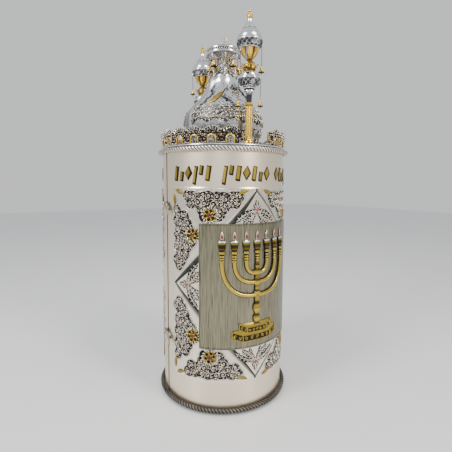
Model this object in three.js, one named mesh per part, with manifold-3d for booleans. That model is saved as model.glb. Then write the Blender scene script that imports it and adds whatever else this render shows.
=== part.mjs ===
// Two-part scroll case: a cylinder that opens like a book on two hinges, with a pierced
// gallery, a split onion dome, two tall finials, a raised diamond field on each half and
// a seven-armed lampstand in relief on the front half. Millimetres, +Z up, origin at the
// bottom centre. The front half is the +X half, the hinges stand at +Y, the clasps at -Y.

import * as THREE from 'three';
import { mergeVertices } from 'three/addons/utils/BufferGeometryUtils.js';
import Module from 'manifold-3d';

const wasm = await Module();
wasm.setup();

// ---- driving dimensions -------------------------------------------------------------

const GAP = 0.3; // left between pieces that touch
const DEGREE = Math.PI / 180;

const WALL_RADIUS = 139.5;
const WALL_THICKNESS = 6;
const WALL_TOP = 548;
const SEAM = 0.15; // from the parting plane to the flat edge of each half
const FACET = 6 * DEGREE; // angular step of everything bent round the case

const FLOOR_THICKNESS = 8;
const TOP_UNDERSIDE = 538;
const LIP_RADIUS = 142.8;
const LIP_LOW = 553.2;
const TOP_SURFACE = 557.3;

const ROPE_INNER = 140.1;
const ROPE_OUTER = 150.4;
const ROPE_HALF_HEIGHT = 5.3;
const ROPE_LOW_Z = 8.3;
const ROPE_HIGH_Z = 547.4;
const ROPE_CUT_BACK = 7.5 * DEGREE; // room for the hinges at the back seam

const SHEET = { halfArc: 190, low: 64, high: 470, back: 139.8, face: 140.6 };
const DIAMOND = { halfArc: 187, halfHeight: 201, back: 140.9, face: 141.9 };
const PANEL = { halfArc: 120, low: 138, high: 398, back: 142.2, face: 143.1 };
const FIELD_CENTRE = 268; // height of the middle of the diamond and the panel

const GALLERY = {
  base: TOP_SURFACE + GAP, radius: 138.6, flare: 3.4, thickness: 2,
  firstArch: 23.5 * DEGREE, pitch: 15 * DEGREE, arches: 5,
  nearEnd: 11 * DEGREE, openingHalf: 7, spring: 566, valley: 583, hump: 591.5,
};

const DOME_BASE = TOP_SURFACE + GAP;
const DOME_TOP = 722;
const CANOPY_TOP = 793;

const FINIAL_OFFSET = 109; // finial axis from the case axis

const LAMP = {
  back: 143.4, depth: 5.6, armPitch: 24.3, armTop: 334, armHalfWidth: 4.4,
  arcBottoms: [296, 277, 250], cupTop: 362, footTop: 190, footLow: 155,
};

const HINGE = {
  axisY: 146.4, barrel: 4, bore: 2.3, pin: 2, height: 60, heights: [120, 430],
  leafArc: 11 * DEGREE, leafBack: 139.8, leafFace: 141.5,
};

const CLASP = {
  pivotX: -7, pivotRise: 9, heights: [138, 425], pinRadius: 2.4, hookBack: 143.7, hookFace: 145.9,
};

// ---- finishes -----------------------------------------------------------------------

const metal = (color, roughness) =>
  new THREE.MeshStandardMaterial({ color, roughness, metalness: 1 });

const FINISH = {
  silver: metal(0xd9d6cf, 0.28),
  satin: metal(0xb9b6a8, 0.45),
  repousse: metal(0x8f8d86, 0.4),
  gilt: metal(0xc79a3b, 0.3),
  wood: new THREE.MeshStandardMaterial({ color: 0x9a7148, roughness: 0.7 }),
};

// ---- solids, joins and cuts ---------------------------------------------------------

function toSolid(geometry) {
  const bare = geometry.clone();
  bare.deleteAttribute('normal');
  bare.deleteAttribute('uv');
  const merged = mergeVertices(bare, 1e-4);
  return new wasm.Manifold(new wasm.Mesh({
    numProp: 3,
    vertProperties: new Float32Array(merged.attributes.position.array),
    triVerts: new Uint32Array(merged.index.array),
  }));
}

function toGeometry(solid) {
  const mesh = solid.getMesh();
  const geometry = new THREE.BufferGeometry();
  geometry.setAttribute('position', new THREE.BufferAttribute(mesh.vertProperties, 3));
  geometry.setIndex(new THREE.BufferAttribute(mesh.triVerts, 1));
  return geometry;
}

function united(geometries) {
  return toGeometry(geometries.map(toSolid).reduce((whole, piece) => whole.add(piece)));
}

function cut(geometry, cutters) {
  return toGeometry(cutters.map(toSolid).reduce(
    (whole, cutter) => whole.subtract(cutter), toSolid(geometry)));
}

// Box given by its two opposite corners.
function boxBetween([x0, y0, z0], [x1, y1, z1]) {
  const box = new THREE.BoxGeometry(x1 - x0, y1 - y0, z1 - z0);
  return box.translate((x0 + x1) / 2, (y0 + y1) / 2, (z0 + z1) / 2);
}

// The +X half of a solid that is centred on the case axis.
function frontHalfOf(geometry) {
  const reach = 400;
  const keep = boxBetween([SEAM, -reach, -reach], [reach, reach, 3 * reach]);
  return toGeometry(toSolid(geometry).intersect(toSolid(keep)));
}

// Turned solid round the Z axis from [radius, height] points; it starts and ends on the axis.
function turned(profile, segments) {
  const points = profile.map(([radius, height]) => new THREE.Vector2(radius, height));
  return new THREE.LatheGeometry(points, segments).rotateX(Math.PI / 2);
}

// Solid bent round the case axis: each station is an angle with one closed loop of
// [radius, height] points, run from the inside low corner to the outside low corner and up.
function bentSolid(stations) {
  const size = stations[0].loop.length;
  const points = stations.flatMap(({ angle, loop }) => loop.flatMap(
    ([radius, height]) => [radius * Math.cos(angle), radius * Math.sin(angle), height]));
  const faces = [];
  for (let i = 0; i + 1 < stations.length; i += 1) {
    for (let k = 0; k < size; k += 1) {
      const here = i * size;
      const there = here + size;
      const next = (k + 1) % size;
      faces.push(here + k, there + k, there + next, here + k, there + next, here + next);
    }
  }
  const outline = stations[0].loop.map(([radius, height]) => new THREE.Vector2(radius, height));
  const last = (stations.length - 1) * size;
  for (const [a, b, c] of THREE.ShapeUtils.triangulateShape(outline, [])) {
    faces.push(a, b, c, last + c, last + b, last + a);
  }
  const geometry = new THREE.BufferGeometry();
  geometry.setAttribute('position', new THREE.Float32BufferAttribute(points, 3));
  geometry.setIndex(faces);
  return geometry;
}

// Angles of the common facet grid between two angles, with both ends.
function gridAngles(start, end) {
  const angles = [start];
  const first = Math.floor(start / FACET + 1.1);
  for (let k = first; k * FACET < end - FACET / 10; k += 1) angles.push(k * FACET);
  angles.push(end);
  return angles;
}

// Plate bent round the case between two radii; low and high give its edges at an angle.
function bentPlate(angles, back, face, low, high) {
  return bentSolid(angles.map((angle) => ({
    angle,
    loop: [[back, low(angle)], [face, low(angle)], [face, high(angle)], [back, high(angle)]],
  })));
}

// Bends a flat piece, modelled with X as its radius and Y as its arc length, round the case.
function bentRound(geometry, radius) {
  const position = geometry.attributes.position;
  for (let i = 0; i < position.count; i += 1) {
    const angle = position.getY(i) / radius;
    const x = position.getX(i);
    position.setXY(i, x * Math.cos(angle), x * Math.sin(angle));
  }
  return geometry;
}

// Smooth outline through a few [radius, height] points.
function smooth(points, steps) {
  const curve = new THREE.SplineCurve(points.map(([x, y]) => new THREE.Vector2(x, y)));
  return curve.getPoints(steps).map(({ x, y }) => [x, y]);
}

// Round hole for a flat outline that runs counter-clockwise.
function roundHole(x, y, radius) {
  const sides = 12;
  const points = [];
  for (let k = 0; k < sides; k += 1) {
    const turn = (-2 * Math.PI * k) / sides;
    points.push(new THREE.Vector2(x + radius * Math.cos(turn), y + radius * Math.sin(turn)));
  }
  return new THREE.Path(points);
}

function part(name, geometry, material) {
  const mesh = new THREE.Mesh(geometry, material);
  mesh.name = name;
  return mesh;
}

// ---- the cylinder -------------------------------------------------------------------

function wall() {
  const inner = WALL_RADIUS - WALL_THICKNESS;
  const edge = 90 * DEGREE - Math.asin(SEAM / inner);
  return bentPlate(gridAngles(-edge, edge), inner, WALL_RADIUS, () => 0, () => WALL_TOP);
}

function floorDisc() {
  const radius = WALL_RADIUS - WALL_THICKNESS - 2 * GAP;
  return frontHalfOf(turned([[0, 0], [radius, 0], [radius, FLOOR_THICKNESS],
    [0, FLOOR_THICKNESS]], 60));
}

function topPlate() {
  const plug = WALL_RADIUS - WALL_THICKNESS - 2 * GAP;
  const bevel = 1;
  return frontHalfOf(turned([
    [0, TOP_UNDERSIDE], [plug, TOP_UNDERSIDE], [plug, WALL_TOP + GAP],
    [WALL_RADIUS, WALL_TOP + GAP], [WALL_RADIUS, LIP_LOW], [LIP_RADIUS, LIP_LOW + bevel],
    [LIP_RADIUS, TOP_SURFACE - bevel], [LIP_RADIUS - bevel, TOP_SURFACE], [0, TOP_SURFACE],
  ], 40));
}

// Rope moulding: a flat back on the wall and a round face; hingeEnd is the end, +1 or -1,
// that is cut back beside the hinges.
function rope(height, hingeEnd) {
  const middle = (ROPE_INNER + ROPE_OUTER) / 2;
  const halfDepth = (ROPE_OUTER - ROPE_INNER) / 2;
  const loop = [];
  for (const turn of [-150, -72, -24, 24, 72, 150]) {
    const bulge = (halfDepth * Math.cos(turn * DEGREE)) / Math.cos(24 * DEGREE);
    const radius = Math.abs(turn) > 90 ? ROPE_INNER : middle + bulge;
    loop.push([radius, height + ROPE_HALF_HEIGHT * Math.sin(turn * DEGREE)]);
  }
  const seam = 90 * DEGREE - Math.asin(SEAM / ROPE_INNER);
  const hinge = 90 * DEGREE - ROPE_CUT_BACK;
  const start = hingeEnd > 0 ? -seam : -hinge;
  const end = hingeEnd > 0 ? hinge : seam;
  const steps = 26;
  const stations = [];
  for (let i = 0; i <= steps; i += 1) {
    stations.push({ angle: start + ((end - start) * i) / steps, loop });
  }
  return bentSolid(stations);
}

// ---- the raised field on each half ----------------------------------------------------

function repousseSheet() {
  const end = SHEET.halfArc / WALL_RADIUS;
  return bentPlate(gridAngles(-end, end), SHEET.back, SHEET.face,
    () => SHEET.low, () => SHEET.high);
}

function diamondFrame() {
  const end = DIAMOND.halfArc / WALL_RADIUS;
  const blunt = 0.6; // half the height of each side tip
  const rise = (angle) => blunt
    + (DIAMOND.halfHeight - blunt) * (1 - Math.abs(angle) / end);
  return bentPlate(gridAngles(-end, end), DIAMOND.back, DIAMOND.face,
    (angle) => FIELD_CENTRE - rise(angle), (angle) => FIELD_CENTRE + rise(angle));
}

function centrePanel() {
  const end = PANEL.halfArc / WALL_RADIUS;
  return bentPlate(gridAngles(-end, end), PANEL.back, PANEL.face,
    () => PANEL.low, () => PANEL.high);
}

// ---- the lampstand --------------------------------------------------------------------

// Turned knops and cups are flattened into the relief: X is the radius from the case axis.
function reliefTurning(profile, arc) {
  const flat = turned(profile, 6).scale(LAMP.depth / 2 / widest(profile), 1, 1);
  return bentRound(flat.translate(LAMP.back + LAMP.depth / 2, arc, 0), WALL_RADIUS);
}

function widest(profile) {
  return Math.max(...profile.map(([radius]) => radius));
}

function lampArm(order) {
  const reach = LAMP.armPitch * (order + 1);
  const drop = LAMP.armTop - LAMP.arcBottoms[order];
  const centre = LAMP.back + LAMP.depth / 2;
  const path = new THREE.Curve();
  path.getPoint = (t, target = new THREE.Vector3()) => {
    const turn = (t - 0.5) * Math.PI;
    return target.set(centre, reach * Math.sin(turn), LAMP.armTop - drop * Math.cos(turn));
  };
  const section = new THREE.Shape();
  section.absellipse(0, 0, LAMP.depth / 2 - 0.4, LAMP.armHalfWidth, 0, 2 * Math.PI);
  const arm = new THREE.ExtrudeGeometry(section, {
    extrudePath: path, steps: 8 + 3 * order, curveSegments: 3,
  });
  return bentRound(arm, WALL_RADIUS);
}

function lampCup(arc) {
  const ring = 340;
  return reliefTurning([[0, ring - 17], [5, ring - 17], [7.4, ring], [5.6, ring + 3],
    [7.2, LAMP.cupTop], [0, LAMP.cupTop]], arc);
}

function lampStem() {
  const rod = 4.6;
  const knop = 8.2;
  const outline = [[0, LAMP.footTop - 4], [8, LAMP.footTop - 4], [rod, LAMP.footTop + 8]];
  for (const height of [218, 255, 277, 297]) {
    outline.push([rod, height - 5], [knop, height], [rod, height + 5]);
  }
  outline.push([rod, LAMP.armTop], [0, LAMP.armTop]);
  return reliefTurning(outline, 0);
}

// One tier of the half-hexagonal foot: its front is flat and its ends slope back.
function lampTier(halfArc, flatArc, low, high, depth) {
  const end = halfArc / WALL_RADIUS;
  const flat = flatArc / WALL_RADIUS;
  const angles = [...gridAngles(-end, end), -flat, flat].sort((a, b) => a - b);
  return bentSolid(angles.map((angle) => {
    const face = LAMP.back + (Math.abs(angle) > flat ? depth / 2 : depth);
    return { angle, loop: [[LAMP.back, low], [face, low], [face, high], [LAMP.back, high]] };
  }));
}

function lampstand() {
  const pieces = [
    lampStem(),
    lampTier(39, 22, 170, LAMP.footTop, LAMP.depth - 1),
    lampTier(52, 31, LAMP.footLow, 173, LAMP.depth),
  ];
  LAMP.arcBottoms.forEach((_, order) => pieces.push(lampArm(order)));
  for (let k = -3; k <= 3; k += 1) pieces.push(lampCup(k * LAMP.armPitch));
  return united(pieces);
}

// ---- the gallery ------------------------------------------------------------------------

// One pierced strip between a finial and the seam: round arches under a scalloped crest.
function galleryStrip(side) {
  const opening = GALLERY.openingHalf / GALLERY.radius;
  const lastArch = GALLERY.firstArch + (GALLERY.arches - 1) * GALLERY.pitch;
  const farEnd = 90 * DEGREE - 2 * SEAM / GALLERY.radius;
  const jamb = 0.1 * DEGREE;
  const crest = (angle) => {
    const phase = ((angle - GALLERY.firstArch) / GALLERY.pitch) * 2 * Math.PI;
    const swell = Math.sqrt((1 + Math.cos(phase)) / 2);
    return GALLERY.valley + (GALLERY.hump - GALLERY.valley) * swell;
  };
  const columns = [[GALLERY.nearEnd, GALLERY.base]];
  for (let k = 0; k < GALLERY.arches; k += 1) {
    const centre = GALLERY.firstArch + k * GALLERY.pitch;
    columns.push([centre - opening - jamb, GALLERY.base]);
    for (const turn of [-90, -52, 0, 52, 90]) {
      const top = GALLERY.spring + GALLERY.openingHalf * Math.cos(turn * DEGREE);
      columns.push([centre + opening * Math.sin(turn * DEGREE), top]);
    }
    columns.push([centre + opening + jamb, GALLERY.base]);
    if (centre < lastArch) columns.push([centre + GALLERY.pitch / 2, GALLERY.base]);
  }
  columns.push([farEnd, GALLERY.base]);
  const lean = (height) => GALLERY.radius
    + (GALLERY.flare * (height - GALLERY.base)) / (GALLERY.hump - GALLERY.base);
  const stations = columns.map(([angle, low]) => {
    const high = crest(angle);
    const inner = (height) => lean(height) - GALLERY.thickness / 2;
    const outer = (height) => lean(height) + GALLERY.thickness / 2;
    return {
      angle: side * angle,
      loop: [[inner(low), low], [outer(low), low], [outer(high), high], [inner(high), high]],
    };
  });
  return bentSolid(side > 0 ? stations : stations.reverse());
}

// ---- the dome and its canopy --------------------------------------------------------------

function dome() {
  const outline = smooth([[79, DOME_BASE], [84, 580], [91, 608], [88, 632], [70, 655],
    [50, 680], [34, 705], [28, DOME_TOP]], 12);
  return frontHalfOf(turned([[0, DOME_BASE], ...outline, [0, DOME_TOP]], 28));
}

function canopy() {
  const neck = smooth([[27, DOME_TOP + GAP], [20, 738], [23, 752], [34, 764]], 5);
  return frontHalfOf(turned([[0, DOME_TOP + GAP], ...neck, [40, 771], [40, 780],
    [34.5, 784.5], [22, 791], [0, CANOPY_TOP]], 20));
}

// Small lobed leaf that stands on the canopy, pierced by a round eye.
function topLeaf() {
  const low = CANOPY_TOP + GAP;
  const high = 810;
  const reach = 14.5;
  const eye = { x: 7.4, z: low + 9.4, radius: 2.8 };
  const outline = new THREE.Shape();
  outline.moveTo(SEAM, low);
  outline.lineTo(5, low);
  outline.quadraticCurveTo(9, low + 1, reach, low + 5);
  outline.quadraticCurveTo(reach + 1, high - 1, eye.x, high);
  outline.quadraticCurveTo(3, high, SEAM, high - 4);
  outline.closePath();
  outline.holes.push(roundHole(eye.x, eye.z, eye.radius));
  const thickness = 3;
  const leaf = new THREE.ExtrudeGeometry(outline, {
    depth: thickness, bevelEnabled: false, curveSegments: 5,
  });
  return leaf.rotateX(Math.PI / 2).translate(0, thickness / 2, 0);
}

// ---- the finials ----------------------------------------------------------------------------

const FINIAL_PIECES = [
  {
    name: 'finial_shaft', finish: FINISH.gilt, sides: 8,
    profile: [[0, 557.6], [9.5, 557.6], [10, 561], [7.6, 565], [7, 645], [0, 645]],
  },
  {
    name: 'finial_lower_ball', finish: FINISH.silver, sides: 12,
    profile: [[0, 645.3], [5.2, 645.3], [5.2, 662], [9.7, 664], [12.2, 669], [10, 674],
      [18, 677.5], [23, 684], [23.5, 692], [19.5, 701], [12, 706.7], [0, 706.7]],
  },
  {
    name: 'finial_leaf_cup', finish: FINISH.gilt, sides: 12,
    profile: [[0, 707], [10.5, 707], [13.4, 716], [8.5, 725], [4.8, 729.5], [14.6, 740],
      [18.8, 750], [0, 750]],
  },
  {
    name: 'finial_globe', finish: FINISH.silver, sides: 14,
    profile: [[0, 750.3], [19.6, 750.3], [25, 757], [27.4, 766], [23.8, 777], [16.2, 788],
      [9.6, 799], [5.2, 808.5], [0, 808.5]],
  },
  {
    name: 'finial_spire', finish: FINISH.gilt, sides: 8,
    profile: [[0, 808.8], [4.6, 808.8], [6, 816], [4.8, 823], [1.6, 829], [0, 829]],
  },
];

// ---- hinges and clasps ------------------------------------------------------------------------

// Tube round the hinge axis between two heights.
function knuckle(low, high) {
  const ring = [[HINGE.bore, low], [HINGE.barrel, low], [HINGE.barrel, high],
    [HINGE.bore, high], [HINGE.bore, low]];
  return turned(ring, 10).translate(0, HINGE.axisY, 0);
}

// A leaf bent to the wall, with the knuckles whose places, 0 to 2 from below, it is given.
function hingeLeaf(side, middle, places) {
  const low = middle - HINGE.height / 2;
  const step = HINGE.height / 3;
  const quarter = 90 * DEGREE;
  const clear = 0.5 * DEGREE;
  const angles = [clear, HINGE.leafArc / 2, HINGE.leafArc].map((arc) => quarter - side * arc);
  const plate = bentPlate(angles.sort((a, b) => a - b), HINGE.leafBack, HINGE.leafFace,
    () => low, () => low + HINGE.height);
  const pieces = [plate];
  for (const place of places) {
    const start = low + place * step + GAP;
    const end = low + (place + 1) * step - GAP;
    const near = Math.min(side * 1.4, side * HINGE.barrel * 0.98);
    const far = Math.max(side * 1.4, side * HINGE.barrel * 0.98);
    pieces.push(knuckle(start, end));
    pieces.push(boxBetween([near, HINGE.leafBack + 0.5, start], [far, 143.6, end]));
  }
  return united(pieces);
}

function hingePin(middle) {
  const reach = HINGE.height / 2 - 1;
  const pin = turned([[0, -reach], [HINGE.pin, -reach], [HINGE.pin, reach], [0, reach]], 8);
  return pin.translate(0, HINGE.axisY, middle);
}

// Turned piece whose axis points out of the case at the front seam.
function outwards(profile, sides, x, height) {
  const piece = turned(profile, sides).rotateX(Math.PI / 2);
  return piece.translate(x, 0, height);
}

function claspPivot(middle) {
  const foot = WALL_RADIUS + GAP;
  const { pinRadius, hookBack, hookFace } = CLASP;
  return outwards([[0, foot], [5, foot], [5, hookBack - GAP], [pinRadius, hookBack - GAP],
    [pinRadius, hookFace + GAP], [4.4, hookFace + GAP], [3.4, hookFace + 2], [0, hookFace + 2]],
  10, CLASP.pivotX, middle + CLASP.pivotRise);
}

function claspKnob(middle) {
  const foot = WALL_RADIUS + GAP;
  return outwards([[0, foot], [3.4, foot], [4.4, 141.6], [3.4, CLASP.hookBack - GAP],
    [0, CLASP.hookBack - GAP]], 10, 8, middle - 3);
}

// Leaf-shaped hook: it runs from its pivot across the seam and down over the knob.
function claspHook(middle) {
  const top = middle + CLASP.pivotRise;
  const spine = new THREE.QuadraticBezierCurve(
    new THREE.Vector2(CLASP.pivotX, top),
    new THREE.Vector2(CLASP.pivotX + 22, top + 1),
    new THREE.Vector2(CLASP.pivotX + 25, top - 25));
  const eyeRadius = 4.8;
  const steps = 8;
  const upper = [];
  const lower = [];
  for (let i = 0; i < steps; i += 1) {
    const t = i / steps;
    const half = eyeRadius * Math.sqrt(1 - t) * (1 + 0.7 * t);
    const point = spine.getPoint(t);
    const across = spine.getTangent(t).rotateAround(new THREE.Vector2(), Math.PI / 2);
    upper.push(point.clone().addScaledVector(across, half));
    lower.unshift(point.clone().addScaledVector(across, -half));
  }
  const eye = [];
  for (const turn of [225, 180, 135]) {
    eye.push(new THREE.Vector2(CLASP.pivotX + eyeRadius * Math.cos(turn * DEGREE),
      top + eyeRadius * Math.sin(turn * DEGREE)));
  }
  const outline = new THREE.Shape([...upper, spine.getPoint(1), ...lower, ...eye].reverse());
  outline.holes.push(roundHole(CLASP.pivotX, top, CLASP.pinRadius + GAP));
  const hook = new THREE.ExtrudeGeometry(outline, {
    depth: CLASP.hookFace - CLASP.hookBack, bevelEnabled: false,
  });
  return hook.rotateX(Math.PI / 2).translate(0, -CLASP.hookBack, 0);
}

// ---- assembly ---------------------------------------------------------------------------------

// Every piece that both halves carry, modelled on the +X half.
function halfCase(name, hingeEnd) {
  const half = new THREE.Group();
  const add = (piece, geometry, finish) => half.add(part(`${name}_${piece}`, geometry, finish));
  add('wall', wall(), FINISH.silver);
  add('floor', floorDisc(), FINISH.wood);
  add('top', topPlate(), FINISH.silver);
  add('bottom_rope', rope(ROPE_LOW_Z, hingeEnd), FINISH.silver);
  add('top_rope', rope(ROPE_HIGH_Z, hingeEnd), FINISH.silver);
  add('repousse_sheet', repousseSheet(), FINISH.repousse);
  add('diamond', diamondFrame(), FINISH.silver);
  add('centre_panel', centrePanel(), FINISH.satin);
  add('gallery_left', galleryStrip(-1), FINISH.repousse);
  add('gallery_right', galleryStrip(1), FINISH.repousse);
  add('dome', dome(), FINISH.silver);
  add('canopy', canopy(), FINISH.silver);
  add('top_leaf', topLeaf(), FINISH.silver);
  for (const { name: piece, finish, sides, profile } of FINIAL_PIECES) {
    add(piece, turned(profile, sides).translate(FINIAL_OFFSET, 0, 0), finish);
  }
  return half;
}

const scrollCase = new THREE.Group();

const frontHalf = halfCase('front', 1);
frontHalf.add(part('front_lampstand', lampstand(), FINISH.gilt));
scrollCase.add(frontHalf);

const rearHalf = halfCase('rear', -1);
rearHalf.rotation.z = Math.PI;
scrollCase.add(rearHalf);

['lower', 'upper'].forEach((level, i) => {
  const hingeHeight = HINGE.heights[i];
  const claspHeight = CLASP.heights[i];
  scrollCase.add(
    part(`${level}_hinge_rear_leaf`, hingeLeaf(-1, hingeHeight, [0, 2]), FINISH.silver),
    part(`${level}_hinge_front_leaf`, hingeLeaf(1, hingeHeight, [1]), FINISH.silver),
    part(`${level}_hinge_pin`, hingePin(hingeHeight), FINISH.silver),
    part(`${level}_clasp_pivot`, claspPivot(claspHeight), FINISH.silver),
    part(`${level}_clasp_hook`, claspHook(claspHeight), FINISH.silver),
    part(`${level}_clasp_knob`, claspKnob(claspHeight), FINISH.gilt),
  );
});

export default scrollCase;
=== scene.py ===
"""Looks of a hinged scroll case in silver, gilt and wood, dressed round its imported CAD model.

The object is in metres in the frame of the CAD model: +Z up, the front half towards +X, the
hinges at +Y and the clasps at -Y. Sizes in the classes are millimetres. Reliefs are drawn flat,
as (arc, height, depth), and a Wrap then bends them round the case, the dome or a finial.
"""

import logging
import math
from collections.abc import Callable, Sequence
from dataclasses import dataclass, field
from enum import Enum
from functools import cache, partial
from itertools import product

import bpy
import numpy as np
from mathutils import Matrix, Vector


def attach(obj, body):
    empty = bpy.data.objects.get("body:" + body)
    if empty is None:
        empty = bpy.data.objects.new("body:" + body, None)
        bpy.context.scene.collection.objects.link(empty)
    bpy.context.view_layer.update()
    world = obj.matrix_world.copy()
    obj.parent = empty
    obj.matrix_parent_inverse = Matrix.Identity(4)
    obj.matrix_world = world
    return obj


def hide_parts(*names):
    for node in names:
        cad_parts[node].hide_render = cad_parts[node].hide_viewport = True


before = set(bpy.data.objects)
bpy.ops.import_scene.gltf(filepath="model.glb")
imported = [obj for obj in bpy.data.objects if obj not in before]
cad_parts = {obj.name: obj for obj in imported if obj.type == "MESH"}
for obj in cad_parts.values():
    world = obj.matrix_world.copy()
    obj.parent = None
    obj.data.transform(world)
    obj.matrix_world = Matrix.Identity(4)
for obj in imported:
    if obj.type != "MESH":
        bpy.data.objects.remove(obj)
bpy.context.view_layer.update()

log = logging.getLogger("scroll_case")

Array = np.ndarray
Colour = tuple[float, float, float]
TAU = 2 * math.pi
MM = 0.001
WALL = 139.5  # radius of the case, which every relief round it is measured from
PARTING = 0.15  # from the parting plane to the flat edge of each half
QUARTERS = ((1, 1), (-1, 1), (-1, -1), (1, -1))  # signs that mirror a quarter into all four


def xyz(first: Array | float, second: Array | float, third: Array | float) -> Array:
    """Return points from their three coordinates, each an array or one number for all."""
    return np.stack(np.broadcast_arrays(first, second, third), -1).astype(float)


def turns_of(count: int) -> Array:
    """Return angles spread evenly over a full turn."""
    return TAU * np.arange(count) / count


def spun(x: Array | float, y: Array | float, reach: Array | float, angle: Array | float,
         z: Array | float) -> Array:
    """Return points at a reach and an angle from (x, y)."""
    return xyz(x + reach * np.cos(angle), y + reach * np.sin(angle), z)


def laid(x: float, y: float, slope: float, along: Array, across: Array | float,
         z: Array | float) -> Array:
    """Return points given along and across a slope that starts at (x, y)."""
    cos, sin = math.cos(slope), math.sin(slope)
    return xyz(x + along * cos - across * sin, y + along * sin + across * cos, z)


# ---- shader arithmetic ------------------------------------------------------------------


class Term:
    """A socket of a shader tree; arithmetic on it adds Math nodes."""

    def __init__(self, tree: "Tree", socket: bpy.types.NodeSocket) -> None:
        """Keep the tree and the output socket."""
        self.tree = tree
        self.socket = socket

    def math(self, operation: str, first: "Term | float", second: "Term | float" = 0.0) -> "Term":
        """Return the result of one Math node."""
        return self.tree.node("ShaderNodeMath", {"operation": operation}, {0: first, 1: second})

    def __add__(self, other: "Term | float") -> "Term":
        """Return self + other."""
        return self.math("ADD", self, other)

    def __sub__(self, other: "Term | float") -> "Term":
        """Return self - other."""
        return self.math("SUBTRACT", self, other)

    def __rsub__(self, other: "Term | float") -> "Term":
        """Return other - self."""
        return self.math("SUBTRACT", other, self)

    def __mul__(self, other: "Term | float") -> "Term":
        """Return self * other."""
        return self.math("MULTIPLY", self, other)

    __radd__ = __add__

    def clamped(self) -> "Term":
        """Return self held between 0 and 1."""
        return self.tree.node("ShaderNodeClamp", {}, {"Value": self})


class Tree:
    """The node tree of a new material, with its Principled shader."""

    def __init__(self, name: str) -> None:
        """Make the material with only its shader and output.

        Args:
            name: The material's name.
        """
        self.material = bpy.data.materials.new(name)
        self.material.use_nodes = True
        self.nodes = self.material.node_tree.nodes
        self.links = self.material.node_tree.links
        self.nodes.clear()
        output = self.nodes.new("ShaderNodeOutputMaterial")
        self.shader = self.nodes.new("ShaderNodeBsdfPrincipled")
        self.links.new(self.shader.outputs[0], output.inputs["Surface"])

    def feed(self, socket: bpy.types.NodeSocket, value: object) -> None:
        """Link a Term to a socket, or set the socket to a plain value.

        Args:
            socket: The input socket.
            value: The Term, number or colour.
        """
        if isinstance(value, Term):
            self.links.new(value.socket, socket)
        else:
            socket.default_value = value

    def shade(self, **values: object) -> None:
        """Feed the shader's sockets, named with _ for a space."""
        for name, value in values.items():
            self.feed(self.shader.inputs[name.replace("_", " ")], value)

    def node(
        self,
        kind: str,
        settings: dict[str, object],
        inputs: dict[int | str, object],
        output: int | str = 0,
    ) -> Term:
        """Add a node.

        Args:
            kind: The node's type.
            settings: Properties, set before the sockets.
            inputs: Values or Terms for the sockets, by name or number.
            output: The output socket to return.

        Returns:
            The output socket as a Term.
        """
        node = self.nodes.new(kind)
        for name, value in settings.items():
            setattr(node, name, value)
        for name, value in inputs.items():
            self.feed(node.inputs[name], value)
        return Term(self, node.outputs[output])

    def noise(self, grain: Sequence[float], detail: float = 4.0) -> Term:
        """Return noise between 0 and 1; grain is its count per metre along each axis.

        Args:
            grain: Noise counts per metre along X, Y and Z.
            detail: Octaves of finer noise.

        Returns:
            The noise.
        """
        own = self.node("ShaderNodeTexCoord", {}, {}, "Object")
        place = self.node("ShaderNodeMapping", {}, {"Vector": own, "Scale": tuple(grain)})
        sockets = {"Vector": place, "Scale": 1.0, "Detail": detail, "Roughness": 0.6}
        return self.node("ShaderNodeTexNoise", {}, sockets, "Fac")

    def blend(self, share: Term, first: object, second: object) -> Term:
        """Return a colour from first, at share 0, to second, at share 1."""
        return self.node("ShaderNodeMix", {"data_type": "RGBA"}, {0: share, 6: first, 7: second}, 2)

    def bump(self, height: Term, strength: float, distance: float) -> Term:
        """Return the normal that a height gives; distance is in metres."""
        sockets = {"Height": height, "Strength": strength, "Distance": distance}
        return self.node("ShaderNodeBump", {}, sockets)

    def recess(self) -> Term:
        """Return how dark a place is painted, for patina and painted shade, which the mesh carries from 0 to
        1.
        """
        return self.node("ShaderNodeAttribute", {"attribute_name": "recess"}, {}, "Fac")


class Grain(Enum):
    """The ways a surface was worked, as noise counts per metre along X, Y and Z."""

    POLISHED = (60.0, 60.0, 60.0)
    UPRIGHT = (850.0, 850.0, 22.0)
    LEVEL = (9.0, 9.0, 1400.0)
    WOODEN = (220.0, 220.0, 9.0)


@dataclass(frozen=True)
class Metal:
    """A silver or gilt finish, darkened where the mesh says, for patina and painted shade."""

    name: str
    colour: Colour
    patina_and_shade_colour: Colour
    roughness: float
    grain: Grain = Grain.POLISHED
    bite: float = 0.2
    depth: float = 0.0002
    mottle: float = 0.12

    def material(self) -> bpy.types.Material:
        """Return the finish as a new material.

        Returns:
            The material.
        """
        tree = Tree(self.name)
        recess = tree.recess()
        worked = tree.noise(self.grain.value)
        cloud = tree.noise((22.0, 22.0, 22.0), 3.0)
        patches = (cloud - 0.45) * self.mottle + (worked - 0.5) * self.bite
        # Blend towards the dark colour: the mesh's recess paints patina and shade, and the patches are
        # random tone and brush grain.
        patina_and_painted_shade = (recess * (2.0 - recess) + patches).clamped()
        colour = tree.blend(patina_and_painted_shade, (*self.colour, 1.0), (*self.patina_and_shade_colour, 1.0))
        tree.shade(
            Base_Color=colour,
            Metallic=(1.0 - recess * 0.35).clamped(),
            Roughness=(self.roughness + recess * 0.35 + (worked - 0.5) * 0.2).clamped(),
            Normal=tree.bump(worked, 0.35, self.depth),
        )
        return tree.material


@dataclass(frozen=True)
class Stone:
    """Red glass, lacquered and slightly cloudy."""

    name: str
    colour: Colour
    deep: Colour
    roughness: float

    def material(self) -> bpy.types.Material:
        """Return the finish as a new material.

        Returns:
            The material.
        """
        tree = Tree(self.name)
        cloud = tree.noise((400.0, 400.0, 400.0), 2.0)
        tree.shade(
            Base_Color=tree.blend(cloud, (*self.colour, 1.0), (*self.deep, 1.0)),
            Roughness=self.roughness + cloud * 0.1,
            Coat_Weight=1.0,
        )
        return tree.material


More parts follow.
